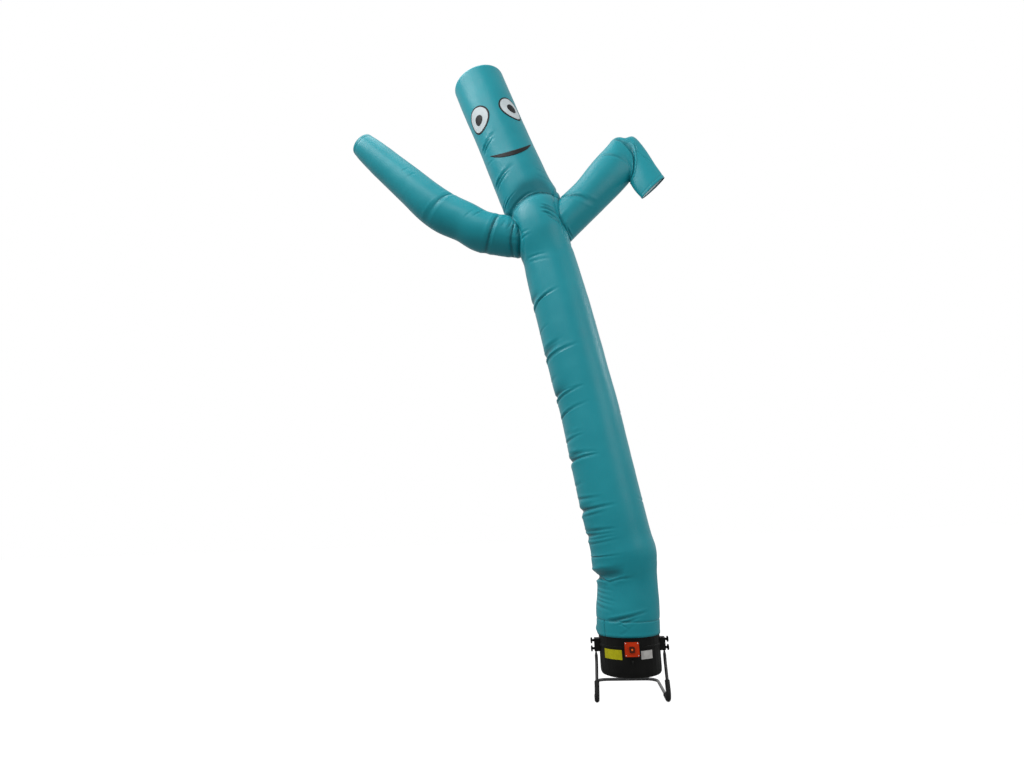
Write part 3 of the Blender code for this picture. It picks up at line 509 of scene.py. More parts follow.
def make_body():
    body = Tube(BODY_AXIS, None)
    folds = [(body.at_height(height), *rest) for height, *rest in BODY_FOLDS]

    def relief(distance, turn):
        band = 0.0035 * np.exp(-((distance - HEM_BAND) / 0.006) ** 2)
        band = band - 0.003 * np.exp(-((distance - HEM_ROLL / 2) / HEM_ROLL) ** 2)
        opening = np.exp(-(around_from(turn, HEM_OPENING) / 0.9) ** 2)
        band = band + 0.008 * opening * (distance < HEM_BAND)
        return (fold_relief(folds, distance, turn) + crease_relief(BODY_CREASES, distance, turn)
                + lip_relief(distance, turn) + swell_relief(BODY_SWELLS, distance, turn) - band)

    body.relief = relief
    return body


def sleeve_relief(folds, creases):
    def relief(distance, turn):
        return fold_relief(folds, distance, turn) + crease_relief(creases, distance, turn)
    return relief


def dense_places(start, end, count, marks, spread, gain):
    """Rows from start to end, closer together near the marks."""
    fine = np.linspace(start, end, 6000)
    density = np.ones_like(fine)
    for mark in marks:
        density += gain * np.exp(-((fine - mark) / spread) ** 2)
    total = np.concatenate(([0.0], np.cumsum((density[1:] + density[:-1]) / 2)))
    return np.interp(np.linspace(0.0, total[-1], count), total, fine)


# Meshes


def cloth_mesh(name, points, cloth, seam, painted_shade, closed, keep=None):
    """Sheet of quads on a grid of points, with its UV maps and each point's painted shade, which darkens
    the cloth in its hollows.
    """
    rows, columns = points.shape[:2]
    last = columns if closed else columns - 1
    row, column = np.meshgrid(np.arange(rows - 1), np.arange(last), indexing="ij")
    row, column = row.ravel(), column.ravel()
    following = (column + 1) % columns
    quads = np.stack([row * columns + column, (row + 1) * columns + column,
                      (row + 1) * columns + following, row * columns + following], axis=-1)
    corner_row = np.stack([row, row + 1, row + 1, row], axis=-1)
    corner_column = np.stack([column, column, column + 1, column + 1], axis=-1)
    if keep is not None:
        chosen = keep.ravel()[quads].any(axis=1)
        quads, corner_row, corner_column = quads[chosen], corner_row[chosen], corner_column[chosen]
    used, quads = np.unique(quads, return_inverse=True)
    mesh = bpy.data.meshes.new(name)
    mesh.from_pydata(points.reshape(-1, 3)[used].tolist(), [], quads.reshape(-1, 4).tolist())
    for title, pair in (("cloth", cloth), ("seam", seam)):
        layer = mesh.uv_layers.new(name=title)
        values = np.stack([part[corner_row, corner_column] for part in pair], axis=-1)
        layer.data.foreach_set("uv", values.ravel())
    # Painted shade: how much the nylon's colour is darkened at each point, in folds, creases and at the
    # hand's rim.
    depth = mesh.attributes.new("painted_shade", "FLOAT", "POINT")
    depth.data.foreach_set("value", painted_shade.ravel()[used].astype(float))
    return mesh


def add_piece(name, mesh, material, inner=None):
    """Cloth piece of the frame's body; inner is the material of its inner side."""
    mesh.materials.append(material)
    mesh.shade_smooth()
    piece = bpy.data.objects.new(name, mesh)
    bpy.context.collection.objects.link(piece)
    solid = piece.modifiers.new("thickness", "SOLIDIFY")
    solid.thickness = CLOTH
    solid.offset = -1.0
    if inner:
        mesh.materials.append(inner)
        solid.material_offset = 1
    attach(piece, BODY)
    return piece


def wrap(values):
    """Grid with its first column repeated at the end."""
    return np.concatenate([values, values[:, :1]], axis=1)


def seam_distance(distance, lines):
    """Signed distance from the nearest of the stitched lines."""
    offsets = np.stack([distance - line for line in lines])
    nearest = np.abs(offsets).argmin(axis=0)
    return np.take_along_axis(offsets, nearest[None], axis=0)[0]


# Painted shade: the deeper the cloth sinks into a fold or crease, the darker it is painted.
def painted_shade_of(relief):
    return np.clip(-relief / 0.012, 0.0, 1.0)


def root_seam(away):
    """The cloth sinks towards a sewn seam, by how far it lies from it."""
    return -0.01 * np.exp(-(away / 0.016) ** 2)


def body_rows(body):
    marks = []
    for _, _, places in BODY_CREASES:
        marks += [distance / 1000 for _, distance in places]
    marks += [distance + 0.03 for _, distance in LIP]
    return dense_places(0.0, body.length - SHOULDER, BODY_ROWS - CROWN_RINGS, marks, 0.022, 1.6)


def crown_grid(body, bends, turn, extra=0.0):
    """Rings of the rounded shoulder under the crown panel, at bends of 0 to 90 degrees round it."""
    end = np.full(1, body.length)
    direction = body.direction(end - CROWN_ROUND)
    forward = unit(FRONT - direction * (direction @ FRONT)[:, None])
    left = np.cross(forward, direction)
    row = body.read(end)
    bend = np.radians(bends)[:, None, None]
    rise = (CROWN_ROUND + extra) * np.sin(bend) - CROWN_ROUND
    reach = row[0, 3] - CROWN_ROUND + (CROWN_ROUND + extra) * np.cos(bend)
    angle = np.radians(turn)[None, :, None]
    return OUTLET + row[0, :3] + direction * rise + (forward * np.cos(angle) + left * np.sin(angle)) * reach


def build_body(body, sleeves, material):
    turn = dense_places(-100.0, 260.0, BODY_COLUMNS + 1, (-20.0, 30.0, 75.0), 40.0, 0.9)[:-1]
    turn = turn[np.abs(turn - HEM_OPENING) > 2.6]
    turn = np.sort(np.concatenate([turn, HEM_OPENING + np.array([-2.2, -1.1, -0.5, 0.0, 0.5, 1.1, 2.2])]))
    rows = body_rows(body)
    distance, turns = np.meshgrid(rows, turn, indexing="ij")
    relief = body.relief(distance, turns)
    points = body.place(distance, turns)
    lift = body_unevenness(points)
    lift *= np.clip(distance / 0.15, 0.0, 1.0)
    inside = np.zeros(distance.shape, bool)
    for sleeve, low, high in sleeves:
        near = (distance > low) & (distance < high)
        clear, along, _ = sleeve_clearance(sleeve, points[near])
        lift[near] += root_seam(clear)
        inside[near] |= (clear < -HIDDEN_DEPTH) & (along > 0.01)
    points = body.place(distance, turns, lift)
    bends = np.linspace(0.0, 90.0, CROWN_RINGS)
    crown = crown_grid(body, bends, turn)
    points = np.concatenate([points, crown])
    shoulder = body.length - SHOULDER + np.radians(bends) * CROWN_ROUND
    along = np.concatenate([distance, np.repeat(shoulder[:, None], len(turn), axis=1)])
    around = np.radians(np.append(turn, turn[0] + 360.0)) * CLOTH_RADIUS
    around = np.broadcast_to(around, (len(along), len(around)))
    along = wrap(along)
    # Painted shade in the tube's folds and creases, none on the crown's shoulder.
    painted_shade = np.concatenate([painted_shade_of(relief + np.minimum(lift, 0.0)), np.zeros((CROWN_RINGS, len(turn)))])
    keep = np.concatenate([~inside, np.ones((CROWN_RINGS, len(turn)), bool)])
    seam = (around, seam_distance(along, (HEM_BAND, body.length + 0.01)))
    mesh = cloth_mesh("body_tube_cloth", points, (around, along), seam, painted_shade, True, keep)
    piece = add_piece("body_tube_cloth", mesh, material)
    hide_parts("body_tube")


def build_crown(body, material):
    """Round panel sewn over the top, with shallow gathers round its rim."""
    columns, turn = 120, np.linspace(-180.0, 180.0, 120, endpoint=False)
    rim = crown_grid(body, np.array([90.0]), turn)[0]
    centre = rim.mean(axis=0)
    direction = body.direction(np.full(1, body.length - CROWN_ROUND))[0]
    reach = np.linalg.norm(rim - centre, axis=1).mean() - GAP
    shares = np.concatenate([np.linspace(1.0, 0.9, 12), np.linspace(0.87, 0.05, 26)])
    gathers = 0.0009 * np.sin(np.radians(turn) * 30 + 0.6 * np.sin(np.radians(turn) * 7))
    rings = []
    for share in shares:
        rise = CROWN_RISE * (1.0 - share * share)
        rim_fade = math.exp(-((1.0 - share) / 0.1) ** 2) * (1.0 - math.exp(-((1.0 - share) / 0.02) ** 2))
        seam = -0.0025 * math.exp(-((1.0 - share) * reach / 0.006 - 1.2) ** 2)
        height = rise + gathers * rim_fade + seam
        rings.append(centre + unit(rim - centre) * reach * share + direction * height[:, None])
    points = np.array(rings)
    around = np.broadcast_to(np.linspace(0.0, 2 * math.pi * reach, columns + 1), (len(shares), columns + 1))
    edge = np.broadcast_to(((1.0 - shares) * reach)[:, None], around.shape)
    ring = (shares * reach)[:, None]
    flat = (ring * np.cos(around / reach), ring * np.sin(around / reach))
    mesh = cloth_mesh("crown_cloth", points, flat, (around, edge - 0.008),
                      np.zeros(points.shape[:2]), True)
    edit_mesh(mesh, (close_middle, (len(shares) - 1) * columns, columns))
    piece = add_piece("crown_cloth", mesh, material)
    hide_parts("crown_panel")


def edit_mesh(mesh, *steps):
    """Take each step, a function and what it needs, on the mesh opened for editing."""
    mesh_data = bmesh.new()
    mesh_data.from_mesh(mesh)
    for step, *inputs in steps:
        step(mesh_data, *inputs)
    mesh_data.to_mesh(mesh)
    mesh_data.free()


def close_middle(mesh_data, start, columns):
    """Close a round sheet's inner ring, whose points begin at start, with a fan of triangles."""
    mesh_data.verts.ensure_lookup_table()
    face = mesh_data.faces.new([mesh_data.verts[start + i] for i in range(columns)])
    for layer in mesh_data.loops.layers.uv.values():
        for loop in face.loops:
            other = [near for near in loop.vert.link_loops if near.face is not face][0]
            loop[layer].uv = other[layer].uv
    bmesh.ops.poke(mesh_data, faces=[face])
    bmesh.ops.recalc_face_normals(mesh_data, faces=mesh_data.faces)


def point_out(mesh_data, body, distance):
    """Turn an open sheet's faces away from the tube's centre line."""
    centre = Vector(OUTLET + body.read(np.array(distance))[:3])
    outward = sum(((face.calc_center_median() - centre).dot(face.normal) * face.calc_area()
                   for face in mesh_data.faces), 0.0)
    if outward < 0:
        bmesh.ops.reverse_faces(mesh_data, faces=mesh_data.faces)


def sleeve_clearance(sleeve, points):
    """How far points lie outside a sleeve, also one with oval sections."""
    clear, distance, turn = Tube.clearance(sleeve, points)
    if isinstance(sleeve, FoldedTube):
        row = sleeve.read(distance)
        across = sleeve.across(row)
        half = np.hypot(across[:, 0], across[:, 2]) / 2
        out = points - (OUTLET + row[..., :3])
        high = (out * unit(across)).sum(-1) / half
        deep = out[..., 1] / (row[..., 3] / 2)
        size = np.hypot(high, deep)
        clear = (size - 1.0) * np.linalg.norm(out, axis=-1) / np.maximum(size, 0.05)
    return clear, distance, turn


def root_distances(sleeve, body, turn):
    """Where each column of a sleeve comes out of the body's cloth."""
    probe = np.linspace(0.0, 0.6, 301)
    distance, turns = np.meshgrid(probe, turn, indexing="ij")
    points = sleeve.place(distance, turns)
    clear, along, around = body.clearance(points.reshape(-1, 3))
    clear = clear - body.relief(along, around)
    hidden = clear.reshape(distance.shape) < -0.001
    last = len(probe) - 1 - np.argmax(hidden[::-1], axis=0)
    roots = probe[last]
    padded = np.concatenate([roots[-3:], roots, roots[:3]])
    return np.convolve(padded, np.ones(7) / 7, "valid")


def build_sleeve(node, sleeve, body, grid, marks, flat, gathers, material, inner):
    name = node + "_cloth"
    rows, columns = grid
    turn = np.linspace(-180.0, 180.0, columns, endpoint=False)
    roots = root_distances(sleeve, body, turn)
    places = dense_places(0.0, 1.0, rows, [mark / sleeve.length for mark in marks], 0.012, 1.4)
    places = np.sort(np.concatenate([places, np.linspace(0.0, 0.03, 12)[1:]]))
    distance = roots[None, :] + (sleeve.length - roots[None, :]) * places[:, None]
    turns = np.broadcast_to(turn, distance.shape)
    from_root = distance - roots[None, :]
    relief = sleeve.relief(distance, turns)
    points = sleeve.place(distance, turns)
    lift = unevenness(points, 0.25, 0.0025) + unevenness(points, 0.08, 0.0008)
    angle = np.radians(turns)
    for count, phase, height in gathers:
        reach = 0.055 + 0.03 * np.sin(angle * 3 + phase)
        ripple = np.sin(angle * count + 1.4 * np.sin(angle * 2 + phase))
        fade = np.exp(-(from_root / reach) ** 2) * (1 - np.exp(-(from_root / 0.012) ** 2))
        lift = lift + height * ripple * fade
    lift = lift + root_seam(from_root)
    from_hand = sleeve.length - distance
    lift = lift - 0.0022 * np.exp(-((from_hand - HAND_HEM) / 0.005) ** 2) + 0.0008 * (from_hand < HAND_HEM)
    points = sleeve.place(distance, turns, lift)
    around = np.radians(np.append(turn, 180.0)) * flat[0] / (2 * math.pi)
    around = np.broadcast_to(around, (len(places), len(around)))
    along = wrap(distance)
    seam_across = np.where(wrap(from_root) < 0.08, wrap(from_root) - 0.004, HAND_HEM - wrap(from_hand))
    # Painted shade in the sleeve's folds and creases, with a dark painted band at the hand's rim where the
    # opening falls into shade.
    painted_shade = np.maximum(painted_shade_of(relief + np.minimum(lift, 0.0)), np.exp(-(from_hand / 0.01) ** 2))
    mesh = cloth_mesh(name, points, (around, along), (around, seam_across), painted_shade, True)
    piece = add_piece(name, mesh, material, inner=inner)
    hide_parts(node)


def egg_outline(body, turn, height, width, tall, tilt):
    """Egg with its narrow end down, leaning by tilt, as turns and distances on the head."""
    place = body.near_height(height)
    radius = float(body.read(np.array(place))[3])
    angle = np.linspace(0.0, 2 * math.pi, EYE_POINTS, endpoint=False)
    up = tall / 2 * np.cos(angle)
    side = width / 2 * np.sin(angle) * (1.0 + EGG_FACTOR * np.cos(angle))
    lean = math.radians(tilt)
    across = side * math.cos(lean) + up * math.sin(lean)
    along = up * math.cos(lean) - side * math.sin(lean)
    return turn + np.degrees(across / radius), place + along


def face_patch(body, node, outline, layer, material):
    """Piece of cloth sewn on the head inside an outline, on this layer over the tube's cloth."""
    name = node + "_cloth"
    turns, distances = outline
    middle_turn, middle_distance = turns.mean(), distances.mean()
    shares = np.array([1.0, 0.985, 0.965, 0.94, 0.9, 0.82, 0.7, 0.55, 0.38, 0.2])[::-1]
    columns = len(turns)
    turn = middle_turn + (turns - middle_turn)[None, :] * shares[:, None]
    distance = middle_distance + (distances - middle_distance)[None, :] * shares[:, None]
    height = layer * (CLOTH + GAP) + PATCH_LIFT
    fall = 0.0004 * np.exp(-((1.0 - shares) / 0.02) ** 2)
    lift = np.broadcast_to((height - fall)[:, None], turn.shape)
    base = body.place(distance, turn)
    points = body.place(distance, turn, lift + body_unevenness(base))
    across = np.radians(turn - middle_turn) * CLOTH_RADIUS
    along = distance - middle_distance
    reach = np.hypot(np.radians(turns - middle_turn) * CLOTH_RADIUS, distances - middle_distance)
    edge = (1.0 - shares)[:, None] * reach[None, :]
    steps = np.hypot(np.diff(across[-1], append=across[-1, 0]), np.diff(along[-1], append=along[-1, 0]))
    perimeter = np.broadcast_to(np.concatenate(([0.0], np.cumsum(steps))), (len(shares), columns + 1))
    mesh = cloth_mesh(name, points, (wrap(across), wrap(along)), (perimeter, wrap(edge) - 0.004),
                      np.zeros(turn.shape), True)
    edit_mesh(mesh, (close_middle, 0, columns), (point_out, body, middle_distance))
    piece = add_piece(name, mesh, material)
    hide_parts(node)


def mouth_patch(body, material):
    """Thin smile sewn across the front of the head."""
    left_turn, right_turn, left_height, right_height, sag, thickness = MOUTH
    left, right = body.near_height(left_height), body.near_height(right_height)
    share = np.linspace(0.0, 1.0, 70)
    across_share = np.linspace(-1.0, 1.0, 7)
    bow = 4 * share * (1 - share)
    middle = left + (right - left) * share - sag * bow
    half = 0.0015 + (thickness / 2 - 0.0015) * bow ** 0.8
    turn = np.broadcast_to(left_turn + (right_turn - left_turn) * share, (7, 70))
    distance = middle[None, :] + half[None, :] * across_share[:, None]
    base = body.place(distance, turn)
    points = body.place(distance, turn, CLOTH + GAP + PATCH_LIFT + body_unevenness(base))
    across = np.radians(turn) * CLOTH_RADIUS
    edge = half[None, :] * (1.0 - np.abs(across_share))[:, None]
    mesh = cloth_mesh("mouth_cloth", points, (across, distance), (across, edge - 0.004),
                      np.zeros(turn.shape), False)
    edit_mesh(mesh, (point_out, body, float(distance.mean())))
    piece = add_piece("mouth_cloth", mesh, material)
    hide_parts("mouth")


def build_face(body, white, black):
    rim = 2 * EYE_RIM
    for side, turn, height, width, tall, tilt, pupil_turn, pupil_height, pupil_width, pupil_tall in EYES:
        for part, layer, shape, material, slot in (
                ("eye_outline", 1, (turn, height, width + rim, tall + rim), black, "black_cloth"),
                ("eye_white", 2, (turn, height, width, tall), white, "white_cloth"),
                ("pupil", 3, (pupil_turn, pupil_height, pupil_width, pupil_tall), black, "black_cloth")):
            node = side + "_" + part
            outline = egg_outline(body, *shape, tilt)
            face_patch(body, node, outline, layer, material)
    mouth_patch(body, black)


# Materials


class Look:
    """A material in the making: its Principled shader and short ways to add nodes."""

    def __init__(self, name, **sockets):
        self.material = bpy.data.materials.new(name)
        self.material.use_nodes = True
        self.tree = self.material.node_tree
        self.shader = self.tree.nodes["Principled BSDF"]
        for title, value in sockets.items():
            self.shader.inputs[title.replace("_", " ")].default_value = value

    def add(self, kind, inputs=None, output=0, **settings):
        node = self.tree.nodes.new("ShaderNode" + kind)
        for title, value in settings.items():
            setattr(node, title, value)
        for title, value in (inputs or {}).items():
            self.feed(node.inputs[title], value)
        return node.outputs[output]

    def feed(self, socket, value):
        if isinstance(value, bpy.types.NodeSocket):
            self.tree.links.new(value, socket)
        else:
            socket.default_value = value

    def math(self, operation, a, b=0.0):
        return self.add("Math", {0: a, 1: b}, operation=operation)

    def mix(self, share, a, b):
        return self.add("Mix", {0: share, 6: a, 7: b}, output=2, data_type="RGBA")

    def ramp(self, value, low, high, to_low=0.0, to_high=1.0):
        inputs = {"Value": value, "From Min": low, "From Max": high, "To Min": to_low, "To Max": to_high}
        return self.add("MapRange", inputs, clamp=True, interpolation_type="SMOOTHSTEP")

    def noise(self, scale, detail=3.0, roughness=0.5):
        where = self.add("TexCoord", output=3)
        inputs = {"Vector": where, "Scale": scale, "Detail": detail, "Roughness": roughness}
        return self.add("TexNoise", inputs)

    def uv(self, title):
        return self.add("UVMap", uv_map=title)

    def split(self, vector):
        node = self.tree.nodes.new("ShaderNodeSeparateXYZ")
        self.feed(node.inputs[0], vector)
        return node.outputs[0], node.outputs[1]

    def bump(self, height, strength, distance, normal=None):
        inputs = {"Height": height, "Strength": strength, "Distance": distance}
        if normal is not None:
            inputs["Normal"] = normal
        return self.add("Bump", inputs)

    def set(self, title, value):
        self.feed(self.shader.inputs[title], value)

    def finish(self, base, roughness, normal):
        self.set("Base Color", base)
        self.set("Roughness", roughness)
        self.set("Normal", normal)
        return self.material


def colour(red, green, blue):
    return (red, green, blue, 1.0)


def stripe(look, value, middle, half, soft):
    """1 where a value lies within half of the middle, falling to 0 over soft."""
    away = look.math("ABSOLUTE", look.math("SUBTRACT", value, middle))
    return look.ramp(away, half, half + soft, 1.0, 0.0)


def weave(look, pitch):
    """Over and under of the threads, -1 to 1."""
    u, v = look.split(look.uv("cloth"))
    turn = 2 * math.pi / pitch
    one = look.math("SINE", look.math("MULTIPLY", u, turn))
    other = look.math("SINE", look.math("MULTIPLY", v, turn))
    return look.math("MULTIPLY", one, other)


def stitches(look, length, offsets):
    """Rows of stitches beside the seam lines, this long each."""
    along, across = look.split(look.uv("seam"))
    share = look.math("FRACT", look.math("DIVIDE", along, length))
    dash = stripe(look, share, 0.5, 0.34, 0.05)
    rows = None
    for offset in offsets:
        row = stripe(look, across, offset, 0.0006, 0.0004)
        rows = row if rows is None else look.math("MAXIMUM", rows, row)
    return look.math("MULTIPLY", rows, dash), across


def nylon():
    """Thin coated nylon: satin, with threads too fine to see from afar, stitched along its seams, and with
    painted shade in its folds.
    """
    look = Look("nylon_cloth", Roughness=0.38, Specular_IOR_Level=0.25, Sheen_Weight=0.03,
                Sheen_Roughness=0.5, Sheen_Tint=colour(0.55, 0.86, 0.92))
    broad = look.noise(1.6, 2.0)
    cloudy = look.noise(9.0, 3.0)
    base = look.mix(look.ramp(broad, 0.3, 0.7), colour(0.004, 0.208, 0.254), colour(0.006, 0.232, 0.28))
    base = look.mix(look.ramp(cloudy, 0.35, 0.75, 0.0, 0.35), base, colour(0.0075, 0.242, 0.286))
    # Painted shade: darkens the teal towards dark teal in folds, creases and at the hand's rim.
    painted_shade = look.add("Attribute", output=2, attribute_name="painted_shade")
    base = look.mix(look.ramp(painted_shade, 0.0, 1.0, 0.0, 0.55), base, colour(0.002, 0.078, 0.1))
    stitch, across = stitches(look, 0.0042, (-0.0028, 0.0028))
    join = stripe(look, across, 0.0, 0.0004, 0.0007)
    base = look.mix(look.math("MULTIPLY", join, 0.6), base, colour(0.002, 0.07, 0.09))
    base = look.mix(stitch, base, colour(0.014, 0.205, 0.245))
    threads = weave(look, THREAD_PITCH)
    base = look.mix(look.ramp(threads, -1.0, 1.0, 0.0, 0.1), base, colour(0.014, 0.245, 0.29))
    crinkle = look.noise(34.0, 3.0)
    normal = look.bump(crinkle, 0.15, 0.0022)
    normal = look.bump(threads, 0.12, 0.00012, normal)
    normal = look.bump(stitch, 0.3, 0.0005, normal)
    normal = look.bump(join, 0.5, -0.0008, normal)
    return look.finish(base, look.ramp(cloudy, 0.25, 0.8, 0.34, 0.43), normal)


def nylon_inside():
    """The inner side, matt: painted far paler than the teal outside, as painted light where the inside
    shows through the hand, and with painted shade towards the hand's rim.
    """
    look = Look("nylon_inner_side", Roughness=0.75, Specular_IOR_Level=0.2)
    cloudy = look.noise(11.0, 3.0)
    # Painted light: pale colours that make the inside of the hand look lit.
    base = look.mix(look.ramp(cloudy, 0.3, 0.75), colour(0.62, 0.76, 0.78), colour(0.72, 0.84, 0.86))
    threads = weave(look, THREAD_PITCH)
    base = look.mix(look.ramp(threads, -1.0, 1.0, 0.0, 0.15), base, colour(0.4, 0.6, 0.63))
    # Painted shade: the inner side darkens to dark teal near the hand's rim and in the sleeve's creases.
    edge = look.add("Attribute", output=2, attribute_name="painted_shade")
    base = look.mix(look.ramp(edge, 0.05, 0.6), base, colour(0.002, 0.078, 0.1))
    return look.finish(base, look.ramp(cloudy, 0.25, 0.8, 0.68, 0.8), look.bump(threads, 0.25, 0.00012))


def face_cloth(name, light, dark, stitch_colour):
    look = Look(name, Roughness=0.58, Specular_IOR_Level=0.2, Sheen_Weight=0.03)
    cloudy = look.noise(14.0, 3.0)
    base = look.mix(look.ramp(cloudy, 0.3, 0.75), dark, light)
    stitch, _ = stitches(look, 0.0034, (0.0,))
    base = look.mix(stitch, base, stitch_colour)
    threads = weave(look, THREAD_PITCH)
    base = look.mix(look.ramp(threads, -1.0, 1.0, 0.0, 0.12), base, dark)
    normal = look.bump(look.noise(40.0, 3.0), 0.2, 0.0016)
    normal = look.bump(threads, 0.25, 0.00012, normal)
    normal = look.bump(stitch, 0.6, 0.0005, normal)
    return look.finish(base, look.ramp(cloudy, 0.25, 0.8, 0.48, 0.6), normal)


def moulded(name, light, dark, rough, grain, wear):
    """Moulded plastic with a fine spark-eroded grain and faint scuffs."""
    look = Look(name, Roughness=rough, Specular_IOR_Level=0.12)
    patches = look.noise(12.0, 4.0)
    speck = look.noise(900.0, 2.0)
    scuff = look.noise(160.0, 6.0, 0.7)
    base = look.mix(look.ramp(patches, 0.3, 0.7), dark, light)
    base = look.mix(look.ramp(scuff, 0.62, 0.8, 0.0, wear), base, colour(0.1, 0.1, 0.1))
    normal = look.bump(speck, grain, 0.0003)
    normal = look.bump(patches, 0.08, 0.002, normal)
    return look.finish(base, look.ramp(patches, 0.25, 0.75, rough - 0.06, rough + 0.08), normal)


def painted_steel():
    look = Look("black_paint", Roughness=0.34, Specular_IOR_Level=0.5, Coat_Weight=0.3, Coat_Roughness=0.25)
    peel = look.noise(420.0, 2.0)
    patches = look.noise(16.0, 4.0)
    chips = look.noise(230.0, 5.0, 0.7)
    base = look.mix(look.ramp(patches, 0.3, 0.7), colour(0.008, 0.008, 0.009), colour(0.014, 0.014, 0.015))
    base = look.mix(look.ramp(chips, 0.7, 0.76, 0.0, 0.5), base, colour(0.12, 0.12, 0.12))
    return look.finish(base, look.ramp(patches, 0.3, 0.7, 0.28, 0.42), look.bump(peel, 0.12, 0.0004))


def rubber():
    look = Look("foot_rubber", Roughness=0.8, Specular_IOR_Level=0.3)
    patches = look.noise(30.0, 5.0)
    grit = look.noise(600.0, 3.0)
    dust = look.noise(90.0, 5.0, 0.65)
    base = look.mix(look.ramp(patches, 0.3, 0.7), colour(0.006, 0.006, 0.006), colour(0.012, 0.012, 0.012))
    base = look.mix(look.ramp(dust, 0.55, 0.8, 0.0, 0.35), base, colour(0.06, 0.058, 0.055))
    return look.finish(base, look.ramp(patches, 0.3, 0.7, 0.72, 0.88), look.bump(grit, 0.3, 0.0004))


def bright_steel():
    look = Look("screw_steel", Metallic=1.0, Roughness=0.28)
    brushed = look.noise(700.0, 3.0)
    tarnish = look.noise(120.0, 4.0)
    base = look.mix(look.ramp(tarnish, 0.35, 0.75), colour(0.62, 0.61, 0.6), colour(0.8, 0.8, 0.79))
    return look.finish(base, look.ramp(tarnish, 0.3, 0.8, 0.22, 0.4), look.bump(brushed, 0.2, 0.0002))


def bare_label(name, light, dark, rough, metal):
    """Sticker with no print: satin film, a little faded in patches."""
    look = Look(name, Roughness=rough, Specular_IOR_Level=0.2, Metallic=metal)
    fade = look.noise(26.0, 4.0)
    fibre = look.noise(500.0, 2.0)
    base = look.mix(look.ramp(fade, 0.3, 0.72), dark, light)
    normal = look.bump(fade, 0.15, 0.0008)
    normal = look.bump(fibre, 0.1, 0.0002, normal)
    return look.finish(base, look.ramp(fade, 0.3, 0.7, rough - 0.06, rough + 0.1), normal)


def dress_nodes():
    """Give each CAD node that stays its own finish."""
    finishes = {}
    for name, light, dark, rough, grain, wear, nodes in MOULDINGS:
        finish = moulded(name, colour(*light), colour(*dark), rough, grain, wear)
        finishes.update(dict.fromkeys(nodes, finish))
    finishes["stand"] = painted_steel()
    for name, light, dark, rough, metal, node in LABELS:
        finishes[node] = bare_label(name, colour(*light), colour(*dark), rough, metal)
    foot, screw = rubber(), bright_steel()
    for side in ("left", "right"):
        finishes[side + "_foot"] = foot
        for level in ("upper", "lower"):
            finishes["plate_screw_" + level + "_" + side] = screw
    for node, material in finishes.items():
        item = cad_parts[node]
        for slot in item.material_slots:
            slot.material = material


# Stage


def set_camera():
    pitch_cos, pitch_sin = math.cos(CAMERA_PITCH), math.sin(CAMERA_PITCH)
    level = Vector((1.0, 0.0, 0.0))
    upright = Vector((0.0, -pitch_sin, pitch_cos))
    forward = Vector((0.0, pitch_cos, pitch_sin))
    right = level * math.cos(CAMERA_ROLL) - upright * math.sin(CAMERA_ROLL)
    up = level * math.sin(CAMERA_ROLL) + upright * math.cos(CAMERA_ROLL)
    turn = Matrix((right, up, -forward)).transposed()
    data = bpy.data.cameras.new("camera")
    data.sensor_width = 36.0
    data.lens = FOCAL_PIXELS / IMAGE_WIDTH * data.sensor_width
    camera = bpy.data.objects.new("camera", data)
    bpy.context.collection.objects.link(camera)
    camera.matrix_world = Matrix.Translation(Vector(CAMERA_PLACE) + Vector(OUTLET)) @ turn.to_4x4()
    bpy.context.scene.camera = camera


def add_softbox(name, place, aim, size, power):
    data = bpy.data.lights.new(name, "AREA")
    data.shape = "RECTANGLE"
    data.size, data.size_y = size
    data.energy = power
    light = bpy.data.objects.new(name, data)
    bpy.context.collection.objects.link(light)
    light.location = place
    light.rotation_euler = (Vector(aim) - Vector(place)).to_track_quat("-Z", "Y").to_euler()


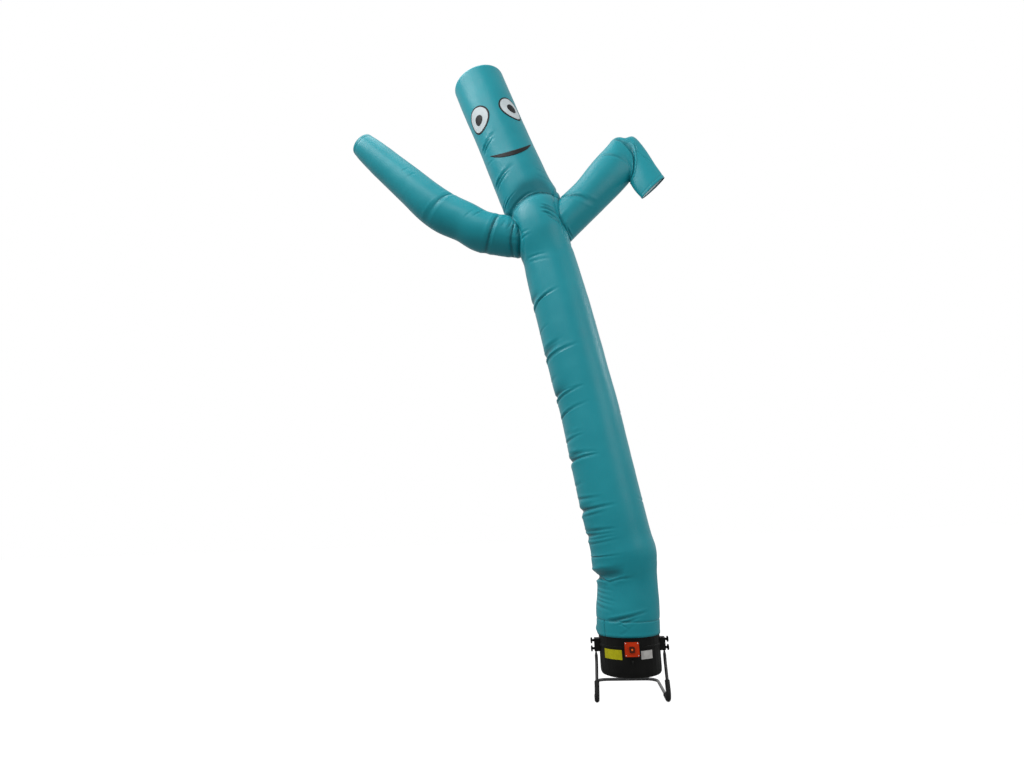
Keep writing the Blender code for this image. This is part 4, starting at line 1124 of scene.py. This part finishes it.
def add_floor():
    mesh = bpy.data.meshes.new("floor")
    near, far = -FLOOR_HALF, FLOOR_HALF
    mesh.from_pydata([(near, near, 0), (far, near, 0), (far, far, 0), (near, far, 0)], [], [(0, 1, 2, 3)])
    floor = bpy.data.objects.new("floor", mesh)
    bpy.context.collection.objects.link(floor)
    look = Look("floor_paper", Roughness=0.9, Specular_IOR_Level=0.0)
    look.set("Base Color", colour(0.15, 0.15, 0.15))
    look.set("Emission Color", colour(1.0, 1.0, 1.0))
    look.set("Emission Strength", look.ramp(look.add("LightPath"), 0.0, 1.0, FLOOR_BOUNCE, FLOOR_GLOW))
    mesh.materials.append(look.material)


def set_light():
    scene = bpy.context.scene
    scene.view_settings.view_transform = "Standard"
    world = bpy.data.worlds.new("studio")
    scene.world = world
    world.use_nodes = True
    tree = world.node_tree
    background = tree.nodes["Background"]
    seen = tree.nodes.new("ShaderNodeLightPath")
    strength = tree.nodes.new("ShaderNodeMapRange")
    strength.inputs["To Min"].default_value = AMBIENT
    strength.inputs["To Max"].default_value = 1.0
    tree.links.new(seen.outputs["Is Camera Ray"], strength.inputs["Value"])
    tree.links.new(strength.outputs["Result"], background.inputs["Strength"])
    background.inputs["Color"].default_value = colour(1.0, 1.0, 1.0)
    for softbox in SOFTBOXES:
        add_softbox(*softbox)


set_camera()
set_light()
add_floor()
body = make_body()
left = Tube(LEFT_SLEEVE, sleeve_relief(LEFT_FOLDS, LEFT_CREASES))
right = FoldedTube(RIGHT_SECTIONS, sleeve_relief(RIGHT_FOLDS, RIGHT_CREASES))
nylon_cloth = nylon()
inner_cloth = nylon_inside()
white_cloth = face_cloth("eye_cloth", colour(0.5, 0.55, 0.57), colour(0.43, 0.48, 0.495),
                         colour(0.37, 0.4, 0.41))
black_cloth = face_cloth("mouth_cloth", colour(0.008, 0.009, 0.01), colour(0.005, 0.0055, 0.006),
                         colour(0.02, 0.02, 0.02))
build_body(body, ((left, 2.7, 3.6), (right, 2.7, 3.6)), nylon_cloth)
build_crown(body, nylon_cloth)
build_sleeve("left_sleeve", left, body, LEFT_GRID,
             [0.207, 0.215, 0.378, 0.36, 0.89, 0.87, 1.83], (1.093, 1.8),
             ((17, 0.3, 0.0016), (29, 1.1, 0.0009)), nylon_cloth, inner_cloth)
build_sleeve("right_sleeve", right, body, RIGHT_GRID,
             [0.4, 0.41, 0.86, 0.9, 1.0, 1.03, 1.06, 1.1, 1.15, 1.2, 1.24], (1.18, 1.42),
             ((15, 1.3, 0.0018), (27, 0.4, 0.001)), nylon_cloth, inner_cloth)
build_face(body, white_cloth, black_cloth)
dress_nodes()
